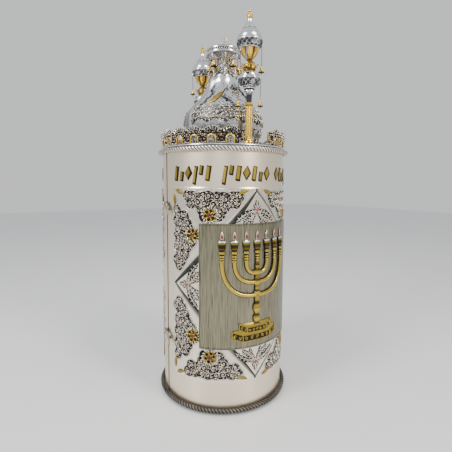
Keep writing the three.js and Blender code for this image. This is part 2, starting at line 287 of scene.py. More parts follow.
@dataclass(frozen=True)
class Timber:
    """Bare planed hardwood with its grain upright."""

    name: str
    light: Colour
    dark: Colour

    def material(self) -> bpy.types.Material:
        """Return the finish as a new material.

        Returns:
            The material.
        """
        tree = Tree(self.name)
        fibre = tree.noise(Grain.WOODEN.value, 6.0)
        tree.shade(
            Base_Color=tree.blend(fibre, (*self.dark, 1.0), (*self.light, 1.0)),
            Roughness=0.45 + fibre * 0.25,
            Normal=tree.bump(fibre, 0.4, 0.0004),
        )
        return tree.material


class Slot(Enum):
    """The names of the pieces' material slots."""

    BRIGHT = "bright_silver"
    SATIN = "satin_silver"
    OXIDISED = "oxidised_silver"
    GILT = "gilt"
    WOOD = "wood_core"
    STONE = "red_stone"


class Finish(Enum):
    """Every finish of the case."""

    POLISHED = Metal("polished silver", (0.80, 0.81, 0.825), (0.03, 0.031, 0.035), 0.17, mottle=0.35,
                     bite=0.12)
    # The raised diamond's finish; its dark colour paints the shade on the bevel's facets.
    FACET = Metal("facet silver with painted shade", (0.84, 0.765, 0.64), (0.03, 0.036, 0.03), 0.3)
    WALL = Metal("level brushed silver", (0.87, 0.765, 0.60), (0.03, 0.027, 0.022), 0.36, Grain.LEVEL,
                 0.42, 0.00016)
    STREAKED = Metal("upright brushed silver", (0.29, 0.27, 0.185), (0.035, 0.033, 0.02), 0.32,
                     Grain.UPRIGHT, 3.2, mottle=0.6)
    CHASED = Metal("chased silver", (0.87, 0.79, 0.67), (0.01, 0.01, 0.011), 0.26, mottle=0.25, bite=0.15)
    GILT = Metal("gilding", (0.93, 0.60, 0.11), (0.04, 0.022, 0.005), 0.2, bite=0.1, depth=0.00006,
                 mottle=0.2)
    ANTIQUE = Metal("antique gilding", (0.56, 0.40, 0.07), (0.02, 0.014, 0.003), 0.25, mottle=0.35)
    WORN = Metal("worn silver", (0.46, 0.42, 0.36), (0.04, 0.035, 0.03), 0.34, mottle=0.9)
    ROSY = Metal("rosy silver", (0.86, 0.60, 0.50), (0.20, 0.06, 0.04), 0.25, mottle=0.2)
    STONE = Stone("red stone", (0.46, 0.014, 0.008), (0.25, 0.004, 0.005), 0.25)
    GARNET = Stone("dark red stone", (0.17, 0.009, 0.008), (0.05, 0.003, 0.003), 0.3)
    TIMBER = Timber("planed hardwood", (0.42, 0.26, 0.14), (0.22, 0.12, 0.06))

    @cache
    def material(self) -> bpy.types.Material:
        """Return the finish as a material, made at its first use."""
        return self.value.material()

    def dress(self, node: str) -> None:
        """Put the finish on a node that keeps its CAD shape.

        Args:
            node: The CAD node's name.
        """
        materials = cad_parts[node].data.materials
        materials.clear()
        materials.append(self.material())


# ---- bending and building -----------------------------------------------------------------


@dataclass(frozen=True)
class Wrap:
    """Bends flat relief round an upright axis, then turns the whole case half round or not."""

    turn: float = 0.0
    radius: float = WALL
    profile: Callable[[Array], Array] | None = None
    flat: bool = False
    lift: float = 0.0

    def __call__(self, points: Array) -> Array:
        """Return points in metres.

        Args:
            points: (arc, height, depth) in mm, or plain (x, y, z) in mm where flat is set.

        Returns:
            The points in the case's frame.
        """
        if self.flat:
            x, y, z = (points[..., k] for k in range(3))
        else:
            arc, z, depth = (points[..., k] for k in range(3))
            base = self.profile(z) if self.profile else self.radius
            x = (base + depth) * np.cos(arc / self.radius)
            y = (base + depth) * np.sin(arc / self.radius)
        cos, sin = math.cos(self.turn), math.sin(self.turn)
        return xyz(x * cos - y * sin, x * sin + y * cos, z + self.lift) * MM


@cache
def _ring_faces(rows: int, sides: int, closed: bool) -> tuple[Array, ...]:
    """Return the faces of a tube of rows rings, capped at both ends or closed on itself.

    Args:
        rows: How many rings.
        sides: Points on each ring.
        closed: Whether the last ring joins the first.

    Returns:
        Arrays of corner numbers, one for each number of corners.
    """
    row, side = np.meshgrid(np.arange(rows if closed else rows - 1), np.arange(sides), indexing="ij")
    after, beside = (row + 1) % rows, (side + 1) % sides
    corners = [row * sides + side, row * sides + beside, after * sides + beside, after * sides + side]
    quads = np.stack(corners, -1).reshape(-1, 4)
    if closed:
        return (quads,)
    ring = np.arange(sides)
    return quads, ring[None, ::-1], (ring + (rows - 1) * sides)[None]


def _volume(points: Array, faces: Sequence[Array]) -> float:
    """Return a measure of the volume inside a closed mesh.

    Args:
        points: Its points, as (points, 3).
        faces: Its faces, as arrays of corner numbers.

    Returns:
        Six times the volume, below zero where the faces look inwards.
    """
    total = 0.0
    for group in faces:
        first = points[group[:, 0]]
        for k in range(1, group.shape[1] - 1):
            total += np.sum(first * np.cross(points[group[:, k]], points[group[:, k + 1]]))
    return float(total)


class Stock:
    """Closed meshes gathered into one piece, with how dark each point is painted, for patina and painted
    shade.
    """

    def __init__(self, wrap: Wrap) -> None:
        """Start empty.

        Args:
            wrap: What every shape added goes through.
        """
        self.wrap = wrap
        self.points: list[Array] = []
        self.recess: list[Array] = []
        self.faces: list[Array] = []
        self.count = 0

    def add(self, points: Array, faces: Sequence[Array], recess: Array | float = 0.0) -> None:
        """Add one closed mesh or many copies of one.

        Args:
            points: Points in mm, as (points, 3) or (copies, points, 3).
            faces: Arrays of corner numbers, one array for each number of corners.
            recess: Blackness of the points, from 0 to 1.
        """
        copies = self.wrap(np.asarray(points, float)).reshape(-1, np.shape(points)[-2], 3)
        number, size = copies.shape[:2]
        outward = _volume(copies[0] - copies[0].mean(0), faces) > 0
        starts = self.count + size * np.arange(number)
        for group in faces:
            ordered = group if outward else group[:, ::-1]
            self.faces.append((ordered[None] + starts[:, None, None]).reshape(-1, group.shape[1]))
        self.points.append(copies.reshape(-1, 3))
        self.recess.append(np.broadcast_to(recess, (number, size)).reshape(-1))
        self.count += number * size

    def rod(
        self,
        path: Array,
        width: Array | float,
        height: Array | float,
        sides: int = 6,
        up: Sequence[float] = (0, 0, 1),
        dark: float = 0.8,
        top: Array | float = 0.0,
        closed: bool = False,
    ) -> None:
        """Add a rod along a path, with painted shade underneath and bright on top.

        Args:
            path: Points, as (points, 3) or (copies, points, 3).
            width: Half its width at each point.
            height: Half its height at each point.
            sides: Sides of its section.
            up: The direction its top faces.
            dark: Strength of the painted shade on its underside.
            top: Blackness of its top, at each point.
            closed: Whether it runs back into its start.
        """
        path = np.asarray(path, float)
        if closed:
            along = np.roll(path, -1, -2) - np.roll(path, 1, -2)
        else:
            along = np.gradient(path, axis=-2)
        side = np.cross(along, np.asarray(up, float))
        side /= np.linalg.norm(side, axis=-1, keepdims=True) + 1e-9
        lift = np.cross(side, along)
        lift /= np.linalg.norm(lift, axis=-1, keepdims=True) + 1e-9
        count = path.shape[-2]
        turn = turns_of(sides) + TAU / 4 / sides
        across = np.broadcast_to(width, (count,))[:, None] * np.cos(turn)
        upward = np.broadcast_to(height, (count,))[:, None] * np.sin(turn)
        points = path[..., None, :] + side[..., None, :] * across[..., None]
        points = points + lift[..., None, :] * upward[..., None]
        # Painted shade on the underside and lower sides, where the rod meets the ground.
        under = np.clip((0.5 - 0.9 * np.sin(turn)) * dark, 0, 1)
        recess = np.maximum(under[None, :], np.broadcast_to(top, (count,))[:, None])
        self.add(points.reshape(*path.shape[:-2], -1, 3), _ring_faces(count, sides, closed),
                 recess.reshape(-1))

    def beads(self, centres: Array, radius: Array | float, height: Array | float, sides: int = 8,
              dark: float = 0.9, top: float = 0.0) -> None:
        """Add low round beads.

        Args:
            centres: Their feet, as (beads, 3).
            radius: Their radii.
            height: How far they stand out.
            sides: Sides of each.
            dark: Strength of the painted shade round their feet.
            top: Blackness of their tops.
        """
        centres = np.asarray(centres, float).reshape(-1, 1, 1, 3)
        # The feet carry painted shade; the tops carry their own darkness.
        rings = np.array([[0.75, -0.3, dark], [1.0, 0.05, dark], [0.86, 0.55, max(top, 0.1 * dark)],
                          [0.4, 0.94, top]])
        turn = turns_of(sides)
        spread = rings[:, :1] * np.reshape(radius, (-1, 1, 1))
        tall = rings[:, 1:2] * np.reshape(height, (-1, 1, 1))
        points = centres + xyz(spread * np.cos(turn), spread * np.sin(turn), tall)
        self.add(points.reshape(len(centres), -1, 3), _ring_faces(len(rings), sides, False),
                 np.repeat(rings[:, 2], sides))

    def turned(self, radii: Array, heights: Array, angles: Array, recess: Array | float = 0.0,
               centre: Sequence[float] = (0.0, 0.0)) -> None:
        """Add a turned body, or half of one closed by a flat plate at the parting plane.

        Args:
            radii: Radius of each row, or of each row and angle.
            heights: Height of each row.
            angles: Angles in radians; the body is whole if they don't reach round.
            recess: Blackness of each row, or of each row and angle.
            centre: Its axis.
        """
        rows, sides = len(heights), len(angles)
        radii = np.reshape(radii, (rows, -1))
        x = centre[0] + radii * np.cos(angles)
        if angles[-1] - angles[0] < 1.01 * math.pi:
            x = np.maximum(x, PARTING)
        points = xyz(x, centre[1] + radii * np.sin(angles), np.reshape(heights, (rows, 1)))
        dark = np.broadcast_to(np.reshape(recess, (-1, 1)) if np.ndim(recess) == 1 else recess,
                               (rows, sides))
        self.add(points.reshape(-1, 3), _ring_faces(rows, sides, False), dark.reshape(-1))

    def shell(self, face: Array, back: Array, recess: Array | float = 0.0,
              keep: Array | None = None, behind: float = 1.0) -> None:
        """Add a closed sheet between two grids of points.

        Args:
            face: The face, as (rows, columns, 3).
            back: The back, with the same numbers.
            recess: Blackness of the face's points.
            keep: Which cells of the grid are there.
            behind: Share of that blackness that the back has.
        """
        rows, columns = face.shape[:2]
        cells = np.ones((rows - 1, columns - 1), bool) if keep is None else keep
        number = np.arange(rows * columns).reshape(rows, columns)
        corners = np.stack([number[:-1, :-1], number[:-1, 1:], number[1:, 1:], number[1:, :-1]], -1)
        top = corners[cells]
        under = top[:, ::-1] + rows * columns
        padded = np.pad(cells, 1)
        quads = [top, under]
        for step, first, second in (((0, -1), 3, 0), ((0, 1), 1, 2), ((-1, 0), 0, 1), ((1, 0), 2, 3)):
            beyond = padded[1 + step[0]:rows + step[0], 1 + step[1]:columns + step[1]]
            edge = corners[cells & ~beyond]
            a, b = edge[:, first], edge[:, second]
            quads.append(np.stack([b, a, a + rows * columns, b + rows * columns], -1))
        quads = np.concatenate(quads)
        used, inverse = np.unique(quads, return_inverse=True)
        points = np.concatenate([face.reshape(-1, 3), back.reshape(-1, 3)])[used]
        dark = np.broadcast_to(recess, (rows, columns)).reshape(-1)
        self.add(points, [inverse.reshape(-1, 4)], np.concatenate([dark, dark * behind])[used])

    def sheet(self, arc: Array, height: Array, face: Array | float, back: float,
              recess: Array | float = 0.0, keep: Array | None = None) -> None:
        """Add a closed sheet between a face and an even back.

        Args:
            arc: Arcs of a grid of points.
            height: Their heights.
            face: Depth of the face.
            back: Depth of the back.
            recess: Blackness of the face's points.
            keep: Which cells of the grid are there.
        """
        self.shell(xyz(arc, height, face), xyz(arc, height, back), recess, keep)

    def plaque(self, outline: Array, height: float, bevel: float, top: float) -> None:
        """Add a flat plate with black edges.

        Args:
            outline: Its outline on the ground, as (points, 2), convex or star-shaped.
            height: How far it stands out.
            bevel: Width of its bevel.
            top: Blackness of its face.
        """
        outline = np.asarray(outline, float)
        middle = outline.mean(0)
        reach = outline - middle
        size = np.linalg.norm(reach, axis=1, keepdims=True).mean()
        rings = np.array([[bevel, -0.25, 1], [bevel, 0.15, 1], [0, height * 0.8, max(0.6, top)],
                          [-bevel, height, top]])
        flat = middle + reach * (1 + rings[:, :1, None] / size)
        points = xyz(flat[..., 0], flat[..., 1], rings[:, 1:2])
        self.add(points.reshape(-1, 3), _ring_faces(len(rings), len(outline), False),
                 np.repeat(rings[:, 2], len(outline)))

    def piece(self, name: str, body: str, slot: Slot, finish: Finish, nodes: Sequence[str],
              crease: float) -> None:
        """Make the Blender object and give it to its body.

        Args:
            name: The piece's name.
            body: The CAD body it rides on.
            slot: The material slot's name; not used.
            finish: Its finish.
            nodes: CAD nodes that it stands for.
            crease: Angle in degrees beyond which an edge stays sharp.
        """
        points = np.concatenate(self.points)
        corners = np.concatenate([group.reshape(-1) for group in self.faces])
        totals = np.concatenate([np.full(len(group), group.shape[1]) for group in self.faces])
        mesh = bpy.data.meshes.new(name)
        mesh.vertices.add(len(points))
        mesh.vertices.foreach_set("co", points.reshape(-1))
        mesh.loops.add(len(corners))
        mesh.loops.foreach_set("vertex_index", corners.astype(np.int32))
        mesh.polygons.add(len(totals))
        starts = np.concatenate([[0], np.cumsum(totals)[:-1]])
        mesh.polygons.foreach_set("loop_start", starts.astype(np.int32))
        mesh.update(calc_edges=True)
        mesh.validate()
        recess = mesh.attributes.new("recess", "FLOAT", "POINT")
        recess.data.foreach_set("value", np.concatenate(self.recess).astype(np.float32))
        mesh.shade_smooth()
        mesh.set_sharp_from_angle(angle=math.radians(crease))
        mesh.materials.append(finish.material())
        thing = bpy.data.objects.new(name, mesh)
        bpy.context.scene.collection.objects.link(thing)
        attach(thing, body)
        if nodes:
            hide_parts(*nodes)
        log.info("%s: %d triangles on %s", name, int((totals - 2).sum()), body)


def smooth_through(knots: Sequence[Sequence[float]], count: int) -> Array:
    """Return points on a smooth curve through knots.

    Args:
        knots: The points to pass through, two numbers each.
        count: How many points to return.

    Returns:
        The points, as (count, 2).
    """
    known = np.asarray(knots, float)
    ends = np.vstack([2 * known[0] - known[1], known, 2 * known[-1] - known[-2]])
    place = np.linspace(0, len(known) - 1, count)
    span = np.minimum(place.astype(int), len(known) - 2)
    t = (place - span)[:, None]
    p0, p1, p2, p3 = (ends[span + k] for k in range(4))
    curve = (p2 - p0) * t + (2 * p0 - 5 * p1 + 4 * p2 - p3) * t**2
    return p1 + 0.5 * (curve + (3 * p1 - p0 - 3 * p2 + p3) * t**3)


def leaf_width(count: int, widest: float = 0.4) -> Array:
    """Return a leaf's relative widths along its length, pointed at both ends."""
    t = np.linspace(0.02, 0.98, count)
    return np.sin(math.pi * t ** (math.log(0.5) / math.log(widest)))


class Half(Enum):
    """The two halves of the case; the rear one is turned half round."""

    FRONT = 0.0
    REAR = math.pi

    @property
    def body(self) -> str:
        """The CAD body that the half's pieces ride on."""
        return f"{self.name.lower()}_half"

    @property
    def hinge_end(self) -> int:
        """Which end of its arc, +1 or -1, is at the hinges."""
        return 1 if self is Half.FRONT else -1

    def node(self, name: str) -> str:
        """Return the full name of one of the half's CAD nodes."""
        return f"{self.name.lower()}_{name}"

    def stock(self, **wrap: object) -> Stock:
        """Return empty Stock that lands on this half."""
        return Stock(Wrap(turn=self.value, **wrap))


@dataclass
class SubAssembly:
    """What every sub-assembly of one half knows."""

    half: Half

    def hand_over(self, stock: Stock, name: str, slot: Slot, finish: Finish,
                  nodes: Sequence[str] = (), crease: float = 40.0) -> None:
        """Make the piece on this half's body.

        Args:
            stock: Its meshes.
            name: Its name, without the half.
            slot: Its material slot.
            finish: Its finish.
            nodes: CAD nodes that it stands for, without the half.
            crease: Angle in degrees beyond which an edge stays sharp.
        """
        full = [self.half.node(node) for node in nodes]
        stock.piece(self.half.node(name), self.half.body, slot, finish, full, crease)


# ---- the case ---------------------------------------------------------------------------


@dataclass
class CaseBody(SubAssembly):
    """Wooden wall under silver sheet, closed by a floor and a top plate."""

    top: float = 548.0
    skin: float = 0.8
    thickness: float = 6.0
    columns: int = 121

    def build(self) -> None:
        """Make the skin, the wooden core and the top plate."""
        silver = self._wall(0.0, -self.skin)
        self.hand_over(silver, "silver_skin", Slot.BRIGHT, Finish.WALL, ["wall"])
        wood = self._wall(-self.skin - 0.05, -self.thickness)
        self.hand_over(wood, "wooden_core", Slot.WOOD, Finish.TIMBER)
        self._top_plate()
        Finish.TIMBER.dress(self.half.node("floor"))

    def _wall(self, outer: float, inner: float) -> Stock:
        """Return half a tube between two depths.

        Args:
            outer: Depth of its outer face.
            inner: Depth of its inner face.

        Returns:
            Stock with the wall in it.
        """
        reach = math.pi / 2 * WALL - PARTING
        heights = np.linspace(0, self.top, 14)
        arcs = np.linspace(-reach + 3.1, reach - 3.1, self.columns)
        arcs = np.concatenate([[-reach, -reach + 1.9], arcs, [reach - 1.9, reach]])
        arc, height = np.meshgrid(arcs, heights)
        # Painted shade in the gap between the two halves, darkest at the parting edge.
        seam_shade = np.clip(2.6 - (reach - np.abs(arc)) / 1.2, 0, 1)
        stock = self.half.stock()
        stock.sheet(arc, height, outer, inner, seam_shade)
        return stock

    def _top_plate(self) -> None:
        """Make the plate with its rolled lip."""
        outline = np.array([
            [0, 538], [132.9, 538], [132.9, 548.3], [139.5, 548.3], [139.5, 553.2], [142.6, 554.2],
            [142.8, 555.3], [142.2, 556.6], [140.5, 557.3], [136, 557.1], [134, 557.3], [60, 557.3],
            [0, 557.3],
        ])
        stock = self.half.stock(flat=True)
        # Painted shade on the face under the rolled lip and in the crease behind it; the flat top is a
        # little darker.
        recess = np.array([0, 0, 0, 0.3, 0.6, 0, 0, 0, 0.1, 0.6, 0.2, 0.25, 0.25])
        angles = np.linspace(-math.pi / 2, math.pi / 2, self.columns)
        stock.turned(outline[:, 0], outline[:, 1], angles, recess)
        self.hand_over(stock, "top_plate", Slot.BRIGHT, Finish.POLISHED, ["top"])


@dataclass
class RopeMouldings(SubAssembly):
    """Twisted silver ropes round the foot and the head of the case."""

    axis: float = 145.25
    girth: float = 4.93
    groove: float = 1.15
    lay: float = 6.9
    strands: int = 3
    hinge_cut: float = 82.5
    heights: tuple[float, float] = (8.3, 547.4)
    # Painted shade added over the bottom rope and the top rope.
    rope_shade: tuple[float, float] = (0.75, 0.1)
    stations: int = 360
    sides: int = 16

    def build(self) -> None:
        """Make both ropes."""
        for height, rope_shade, name in zip(self.heights, self.rope_shade, ("bottom_rope", "top_rope")):
            stock = self.half.stock()
            self._twist(stock, height, rope_shade)
            self.hand_over(stock, f"twisted_{name}", Slot.BRIGHT, Finish.CHASED, [name], 60)

    def _twist(self, stock: Stock, height: float, rope_shade: float) -> None:
        """Add one rope, with painted shade in its grooves and over all of it, cut back at the hinge end.

        Args:
            stock: Where it goes.
            height: Height of its middle.
            rope_shade: Painted shade added over the whole rope.
        """
        seam = math.pi / 2 - 1.3 * PARTING / WALL
        ends = sorted((-self.half.hinge_end * seam, self.half.hinge_end * math.radians(self.hinge_cut)))
        arc = np.linspace(ends[0], ends[1], self.stations)[:, None] * WALL
        around = turns_of(self.sides)
        strand = np.abs(np.sin((self.strands * around + TAU * arc / self.lay) / 2))
        radius = self.girth - self.groove * (1 - strand) ** 1.3
        depth = self.axis - WALL + radius * np.cos(around)
        level = height + radius * np.sin(around)
        # Painted shade: dark in the grooves between the strands, plus the rope's added shade.
        recess = np.clip(0.95 + rope_shade - 1.3 * strand, 0, 1)
        stock.add(xyz(arc, level, depth).reshape(-1, 3), _ring_faces(self.stations, self.sides, False),
                  recess.reshape(-1))


class Stroke(Enum):
    """The separate marks of the gilt band, all slanting the same way: (width, low, high)."""

    TALL = (12.5, 485.0, 513.5)
    HANGING = (11.0, 496.5, 514.0)
    STANDING = (12.0, 484.5, 502.5)
    LOZENGE = (17.0, 485.5, 513.0)
    LONG = (10.0, 477.5, 513.0)


@dataclass
class StrokeBand(SubAssembly):
    """A row of plain slanting gilt strokes below the head of the case."""

    gap: float = 2.6
    slant: float = 4.2
    relief: float = 1.6
    groups: tuple[tuple[float, float], ...] = ((-183, -82), (-73, 42), (52, 182))

    def build(self) -> None:
        """Make the row."""
        stock = self.half.stock()
        order = [Stroke.TALL, Stroke.STANDING, Stroke.LOZENGE, Stroke.LONG, Stroke.HANGING,
                 Stroke.TALL, Stroke.LOZENGE]
        for number, (start, end) in enumerate(self.groups):
            place, turn = start, number * 3
            while place + order[turn % len(order)].value[0] <= end:
                stroke = order[turn % len(order)]
                self._stroke(stock, stroke, place + stroke.value[0] / 2)
                place += stroke.value[0] + self.gap
                turn += 1
        self.hand_over(stock, "gilt_strokes", Slot.GILT, Finish.ANTIQUE)

    def _stroke(self, stock: Stock, stroke: Stroke, arc: float) -> None:
        """Add one mark centred on an arc, over a dark copy of it shifted right and down, which shows to its
        right.

        Args:
            stock: Where it goes.
            stroke: Its kind.
            arc: Arc of its middle.
        """
        width, low, high = stroke.value
        half, lean = width / 2 - 0.4, self.slant / 2
        if stroke is Stroke.LOZENGE:
            middle = (low + high) / 2
            corners = [[-lean * 0.6, low], [half, middle], [lean * 0.6, high], [-half, middle]]
        else:
            share = (high - low) / 28
            corners = [[-half * 0.7 - lean * share, low], [half * 0.7 - lean * share, low - 1.2],
                       [half * 0.7 + lean * share, high - 1.2], [-half * 0.7 + lean * share, high]]
        outline = np.array(corners) + [arc, 0]
        middle = outline.mean(0)
        shade = 0.16 + 0.16 * math.sin(arc * 0.21)
        # A dark copy of the mark, shifted right and down, under it.
        stock.plaque(outline + [1.5, -0.9], 0.6, 1.1, 1.0)
        stock.plaque(outline, self.relief, 0.4, 0.75)
        stock.plaque(middle + (outline - middle) * [0.72, 0.86] + [-0.5, 0.3], self.relief + 0.35, 0.3,
                     shade)


# ---- the chased field ---------------------------------------------------------------------


@dataclass
class DiamondLayout:
    """The raised diamond's place, which the scrolls and the panel are set out from."""

    half_arc: float = 187.0
    half_height: float = 201.0
    middle: float = 268.0
    panel_arc: float = 120.0
    panel_height: float = 130.0

    @property
    def span(self) -> float:
        """Distance from the middle to an edge, squarely across it."""
        return 1 / math.hypot(1 / self.half_arc, 1 / self.half_height)

    def outside(self, arc: Array, rise: Array) -> Array:
        """Return the distance beyond the diamond's edge of places measured from its middle."""
        return (np.abs(arc) / self.half_arc + np.abs(rise) / self.half_height - 1) * self.span


@dataclass
class FieldWork(SubAssembly):
    """What is set out from the middle of the diamond."""

    layout: DiamondLayout = field(default_factory=DiamondLayout)

    def stock(self) -> Stock:
        """Return empty Stock whose heights count from the diamond's middle."""
        return self.half.stock(lift=self.layout.middle)


@dataclass
class ScrollField(FieldWork):
    """Chased leaf scrolls on black, with gilt flowers, gilt leaves and dark stones."""

    reach: float = 190.0
    rise: float = 203.0
    pitch: float = 15.5
    disc: float = 11.5
    cell: float = 2.5
    margin: float = 1.15
    ground: float = 0.35
    flowers: tuple[tuple[float, float], ...] = ((97, 147), (135, 106))
    leaves: tuple[tuple[float, float, float], ...] = ((167, 192.5, 22), (183, 175, 84), (30, 193, -18))
    flower_ground: float = 16.5
    flower_clearance: float = 15.0
    band_slope: float = 1.03
    band_length: float = 1.436
    lobes: int = 6
    collar: int = 15
    seed: int = 7

    def build(self) -> None:
        """Make the sheet, its scrolls, the gilt work and the stones."""
        self.rng = np.random.default_rng(self.seed)
        self.places = self._mirrored(self._places())
        self.blooms = self._mirrored(self.flowers)
        self._sheet()
        self._scrolls()
        self._gilt_work()

    def _mirrored(self, quarter: Sequence[Sequence[float]]) -> Array:
        """Return (arc, rise) places repeated in all four quarters."""
        return (np.array(quarter)[None] * np.array(QUARTERS)[:, None]).reshape(-1, 2)

    def _places(self) -> list[Array]:
        """Find room for the scrolls of one quarter: off the diamond, the panel and the bare bands.

        Returns:
            Their middles, as (arc, rise).
        """
        found = []
        for row, rise in enumerate(np.arange(24.0, self.rise - self.disc + 2, self.pitch * 0.86)):
            for arc in np.arange(7 + (row % 2) * self.pitch / 2, self.reach - self.disc, self.pitch):
                spot = np.array([arc, rise]) + self.rng.uniform(-1.8, 1.8, 2)
                past_arc, past_rise = spot - [self.layout.panel_arc, self.layout.panel_height]
                band = (past_rise - past_arc * self.band_slope) / self.band_length
                clear = self.layout.outside(*spot) > self.disc + 0.5
                off_panel = max(past_arc, past_rise) > 1 + self.disc
                if clear and off_panel and abs(band) > self.disc + 1:
                    found.append(spot)
        return found

    def _sheet(self) -> None:
        """Make the sheet: plain margins, and sunk black ground under the scrolls."""
        arcs = np.linspace(-self.reach, self.reach, int(2 * self.reach / self.cell))
        rises = np.linspace(-self.rise, self.rise, int(2 * self.rise / self.cell))
        arc, rise = np.meshgrid(arcs, rises)
        deep = np.full(arc.shape, -99.0)
        for spots, radius in ((self.places, self.disc), (self.blooms, self.flower_ground)):
            for x, y in spots:
                deep = np.maximum(deep, radius - np.hypot(arc - x, rise - y))
        sunk = np.clip(deep / 1.6 + 0.5, 0, 1)
        border = np.minimum(self.reach - np.abs(arc), self.rise - np.abs(rise))
        depth = self.margin + (self.ground - self.margin) * sunk
        outside = self.layout.outside(arc, rise)
        middle = (outside[:-1, :-1] + outside[1:, 1:]) / 2
        stock = self.stock()
        stock.sheet(arc, rise, np.minimum(depth, 0.25 + border * 0.4), 0.06, sunk, middle > -6)
        self.hand_over(stock, "chased_sheet", Slot.OXIDISED, Finish.CHASED, ["repousse_sheet"])

    def _scrolls(self) -> None:
        """Make the curling stems, their leaves and beads, and the scalloped rims."""
        away = np.hypot(*(self.places[:, None] - self.blooms).T).min(0)
        spots = self.places[away > self.flower_clearance]
        count = len(spots)
        start = self.rng.uniform(0, TAU, (count, 1))
        hand = self.rng.choice([-1.0, 1.0], (count, 1))
        size = self.rng.uniform(0.85, 1.12, (count, 1))
        t = np.linspace(0, 1, 12)
        stems = spun(spots[:, :1], spots[:, 1:], 7.0 * size * (1 - 0.86 * t),
                     start + hand * 1.45 * TAU * t, self.ground + 1.1 + 0.8 * t)
        stock = self.stock()
        stock.rod(stems, 0.3 + 0.85 * np.sin(math.pi * (0.12 + 0.8 * t)), 1.15, 5, dark=1.4)
        stock.beads(xyz(*spots.T, self.ground + 0.3), 1.7, 2.4, 7)
        self._lobes(stock, spots, start, hand, size)
        self._rims(stock)
        self.hand_over(stock, "leaf_scrolls", Slot.OXIDISED, Finish.CHASED, crease=70)

    def _lobes(self, stock: Stock, spots: Array, start: Array, hand: Array, size: Array) -> None:
        """Add the leaves round each scroll, the beads between them and the flowers' collars.

        Args:
            stock: Where they go.
            spots: Middles of the scrolls.
            start: Angle that each starts from.
            hand: +1 or -1, the way that each winds.
            size: Size of each beside the usual one.
        """
        t = np.linspace(0, 1, 5)
        arch = np.sin(math.pi * t)
        fan = start + TAU * (np.arange(self.lobes) + 0.35) / self.lobes
        fan = fan + self.rng.uniform(-0.25, 0.25, fan.shape)
        reach = (6.3 + (3.4 + self.rng.uniform(-0.8, 1.4, fan.shape))[..., None] * t) * size[..., None]
        swing = fan[..., None] + hand[..., None] * 0.55 * t**1.5
        paths = spun(spots[:, 0, None, None], spots[:, 1, None, None], reach, swing,
                     self.ground + 0.6 + arch).reshape(-1, 5, 3)
        for first, top in ((0, 0.0), (1, 0.5)):
            stock.rod(paths[first::2], 0.2 + 1.1 * leaf_width(5), 0.95, 5, dark=1.4, top=top)
        owner = np.repeat(spots, 3, axis=0)
        where = self.rng.uniform(0, TAU, len(owner))
        away = self.rng.uniform(8.0, 10.5, len(owner))
        stock.beads(spun(*owner.T, away, where, self.ground), self.rng.uniform(0.7, 1.25, len(owner)),
                    1.7, 6)
        reach = 12.6 + np.where(np.arange(self.collar) % 2, 7.2, 5.2)[:, None] * t
        swing = turns_of(self.collar)[:, None] + 0.22 * t
        for x, y in self.blooms:
            stock.rod(spun(x, y, reach, swing, self.ground + 0.7 + arch), 0.25 + 1.5 * leaf_width(5), 1.0,
                      5, dark=1.25)

    def _rims(self, stock: Stock) -> None:
        """Add the bright scalloped edge of each mass of scrolls.

        Args:
            stock: Where it goes.
        """
        for index, (x, y) in enumerate(self.places):
            ring = spun(x, y, self.disc, TAU * np.arange(37) / 36, self.margin + 0.1)
            others = np.delete(self.places, index, 0)
            gaps = np.hypot(ring[:, :1] - others[:, 0], ring[:, 1:2] - others[:, 1])
            bare = gaps.min(1) > self.disc - 0.4
            changes = np.flatnonzero(np.diff(np.concatenate([[0], bare, [0]])))
            for start, end in changes.reshape(-1, 2):
                if end - start > 3:
                    width = 0.25 + 0.75 * leaf_width(end - start) ** 0.4
                    stock.rod(ring[start:end], width, 0.8, 5, dark=0.7)

    def _gilt_work(self) -> None:
        """Make the gilt flowers and leaves and the dark stones in the flowers."""
        gilt, stones = self.stock(), self.stock()
        for x, y in self.blooms:
            self._flower(gilt, stones, x, y)
        for (arc, rise, slope), (across, upward) in product(self.leaves, QUARTERS):
            self._leaf(gilt, across * arc, upward * rise, math.radians(slope) * across * upward, across)
        self.hand_over(gilt, "gilt_flowers", Slot.GILT, Finish.ANTIQUE, crease=60)
        self.hand_over(stones, "flower_stones", Slot.STONE, Finish.GARNET)

    def _flower(self, gilt: Stock, stones: Stock, x: float, y: float) -> None:
        """Add one flower: six bright-rimmed dark petals round three stones.

        Args:
            gilt: Where its petals go.
            stones: Where its stones go.
            x: Arc of its middle.
            y: Rise of its middle.
        """
        t = turns_of(20)
        along = 8.4 + 4.2 * np.cos(t) * (1 + 0.12 * np.cos(2 * t))
        across = 4.3 * np.sin(t) * (1 + 0.25 * np.cos(t))
        for out in turns_of(6) + 0.26:
            gilt.rod(laid(x, y, out, along, across, 2.5 + 0.4 * np.cos(t)), 0.85, 1.1, 6, closed=True,
                     dark=0.9)
            gilt.rod(laid(x, y, out, np.linspace(4, 12.2, 6), 0, 1.5), 4.2 * leaf_width(6, 0.5) + 0.3,
                     0.8, 6, top=1.0)
        gilt.beads([x, y, 1.6], 6.4, 1.5, 14, dark=1.0, top=1.0)
        stones.beads(spun(x, y, 3.3, turns_of(3) + 0.5, 2.7), 2.7, 1.9, 8, dark=0.0)
        gilt.rod(spun(x, y, 6.6, t, 2.6), 0.45, 0.7, 5, closed=True, dark=0.9, top=0.35)

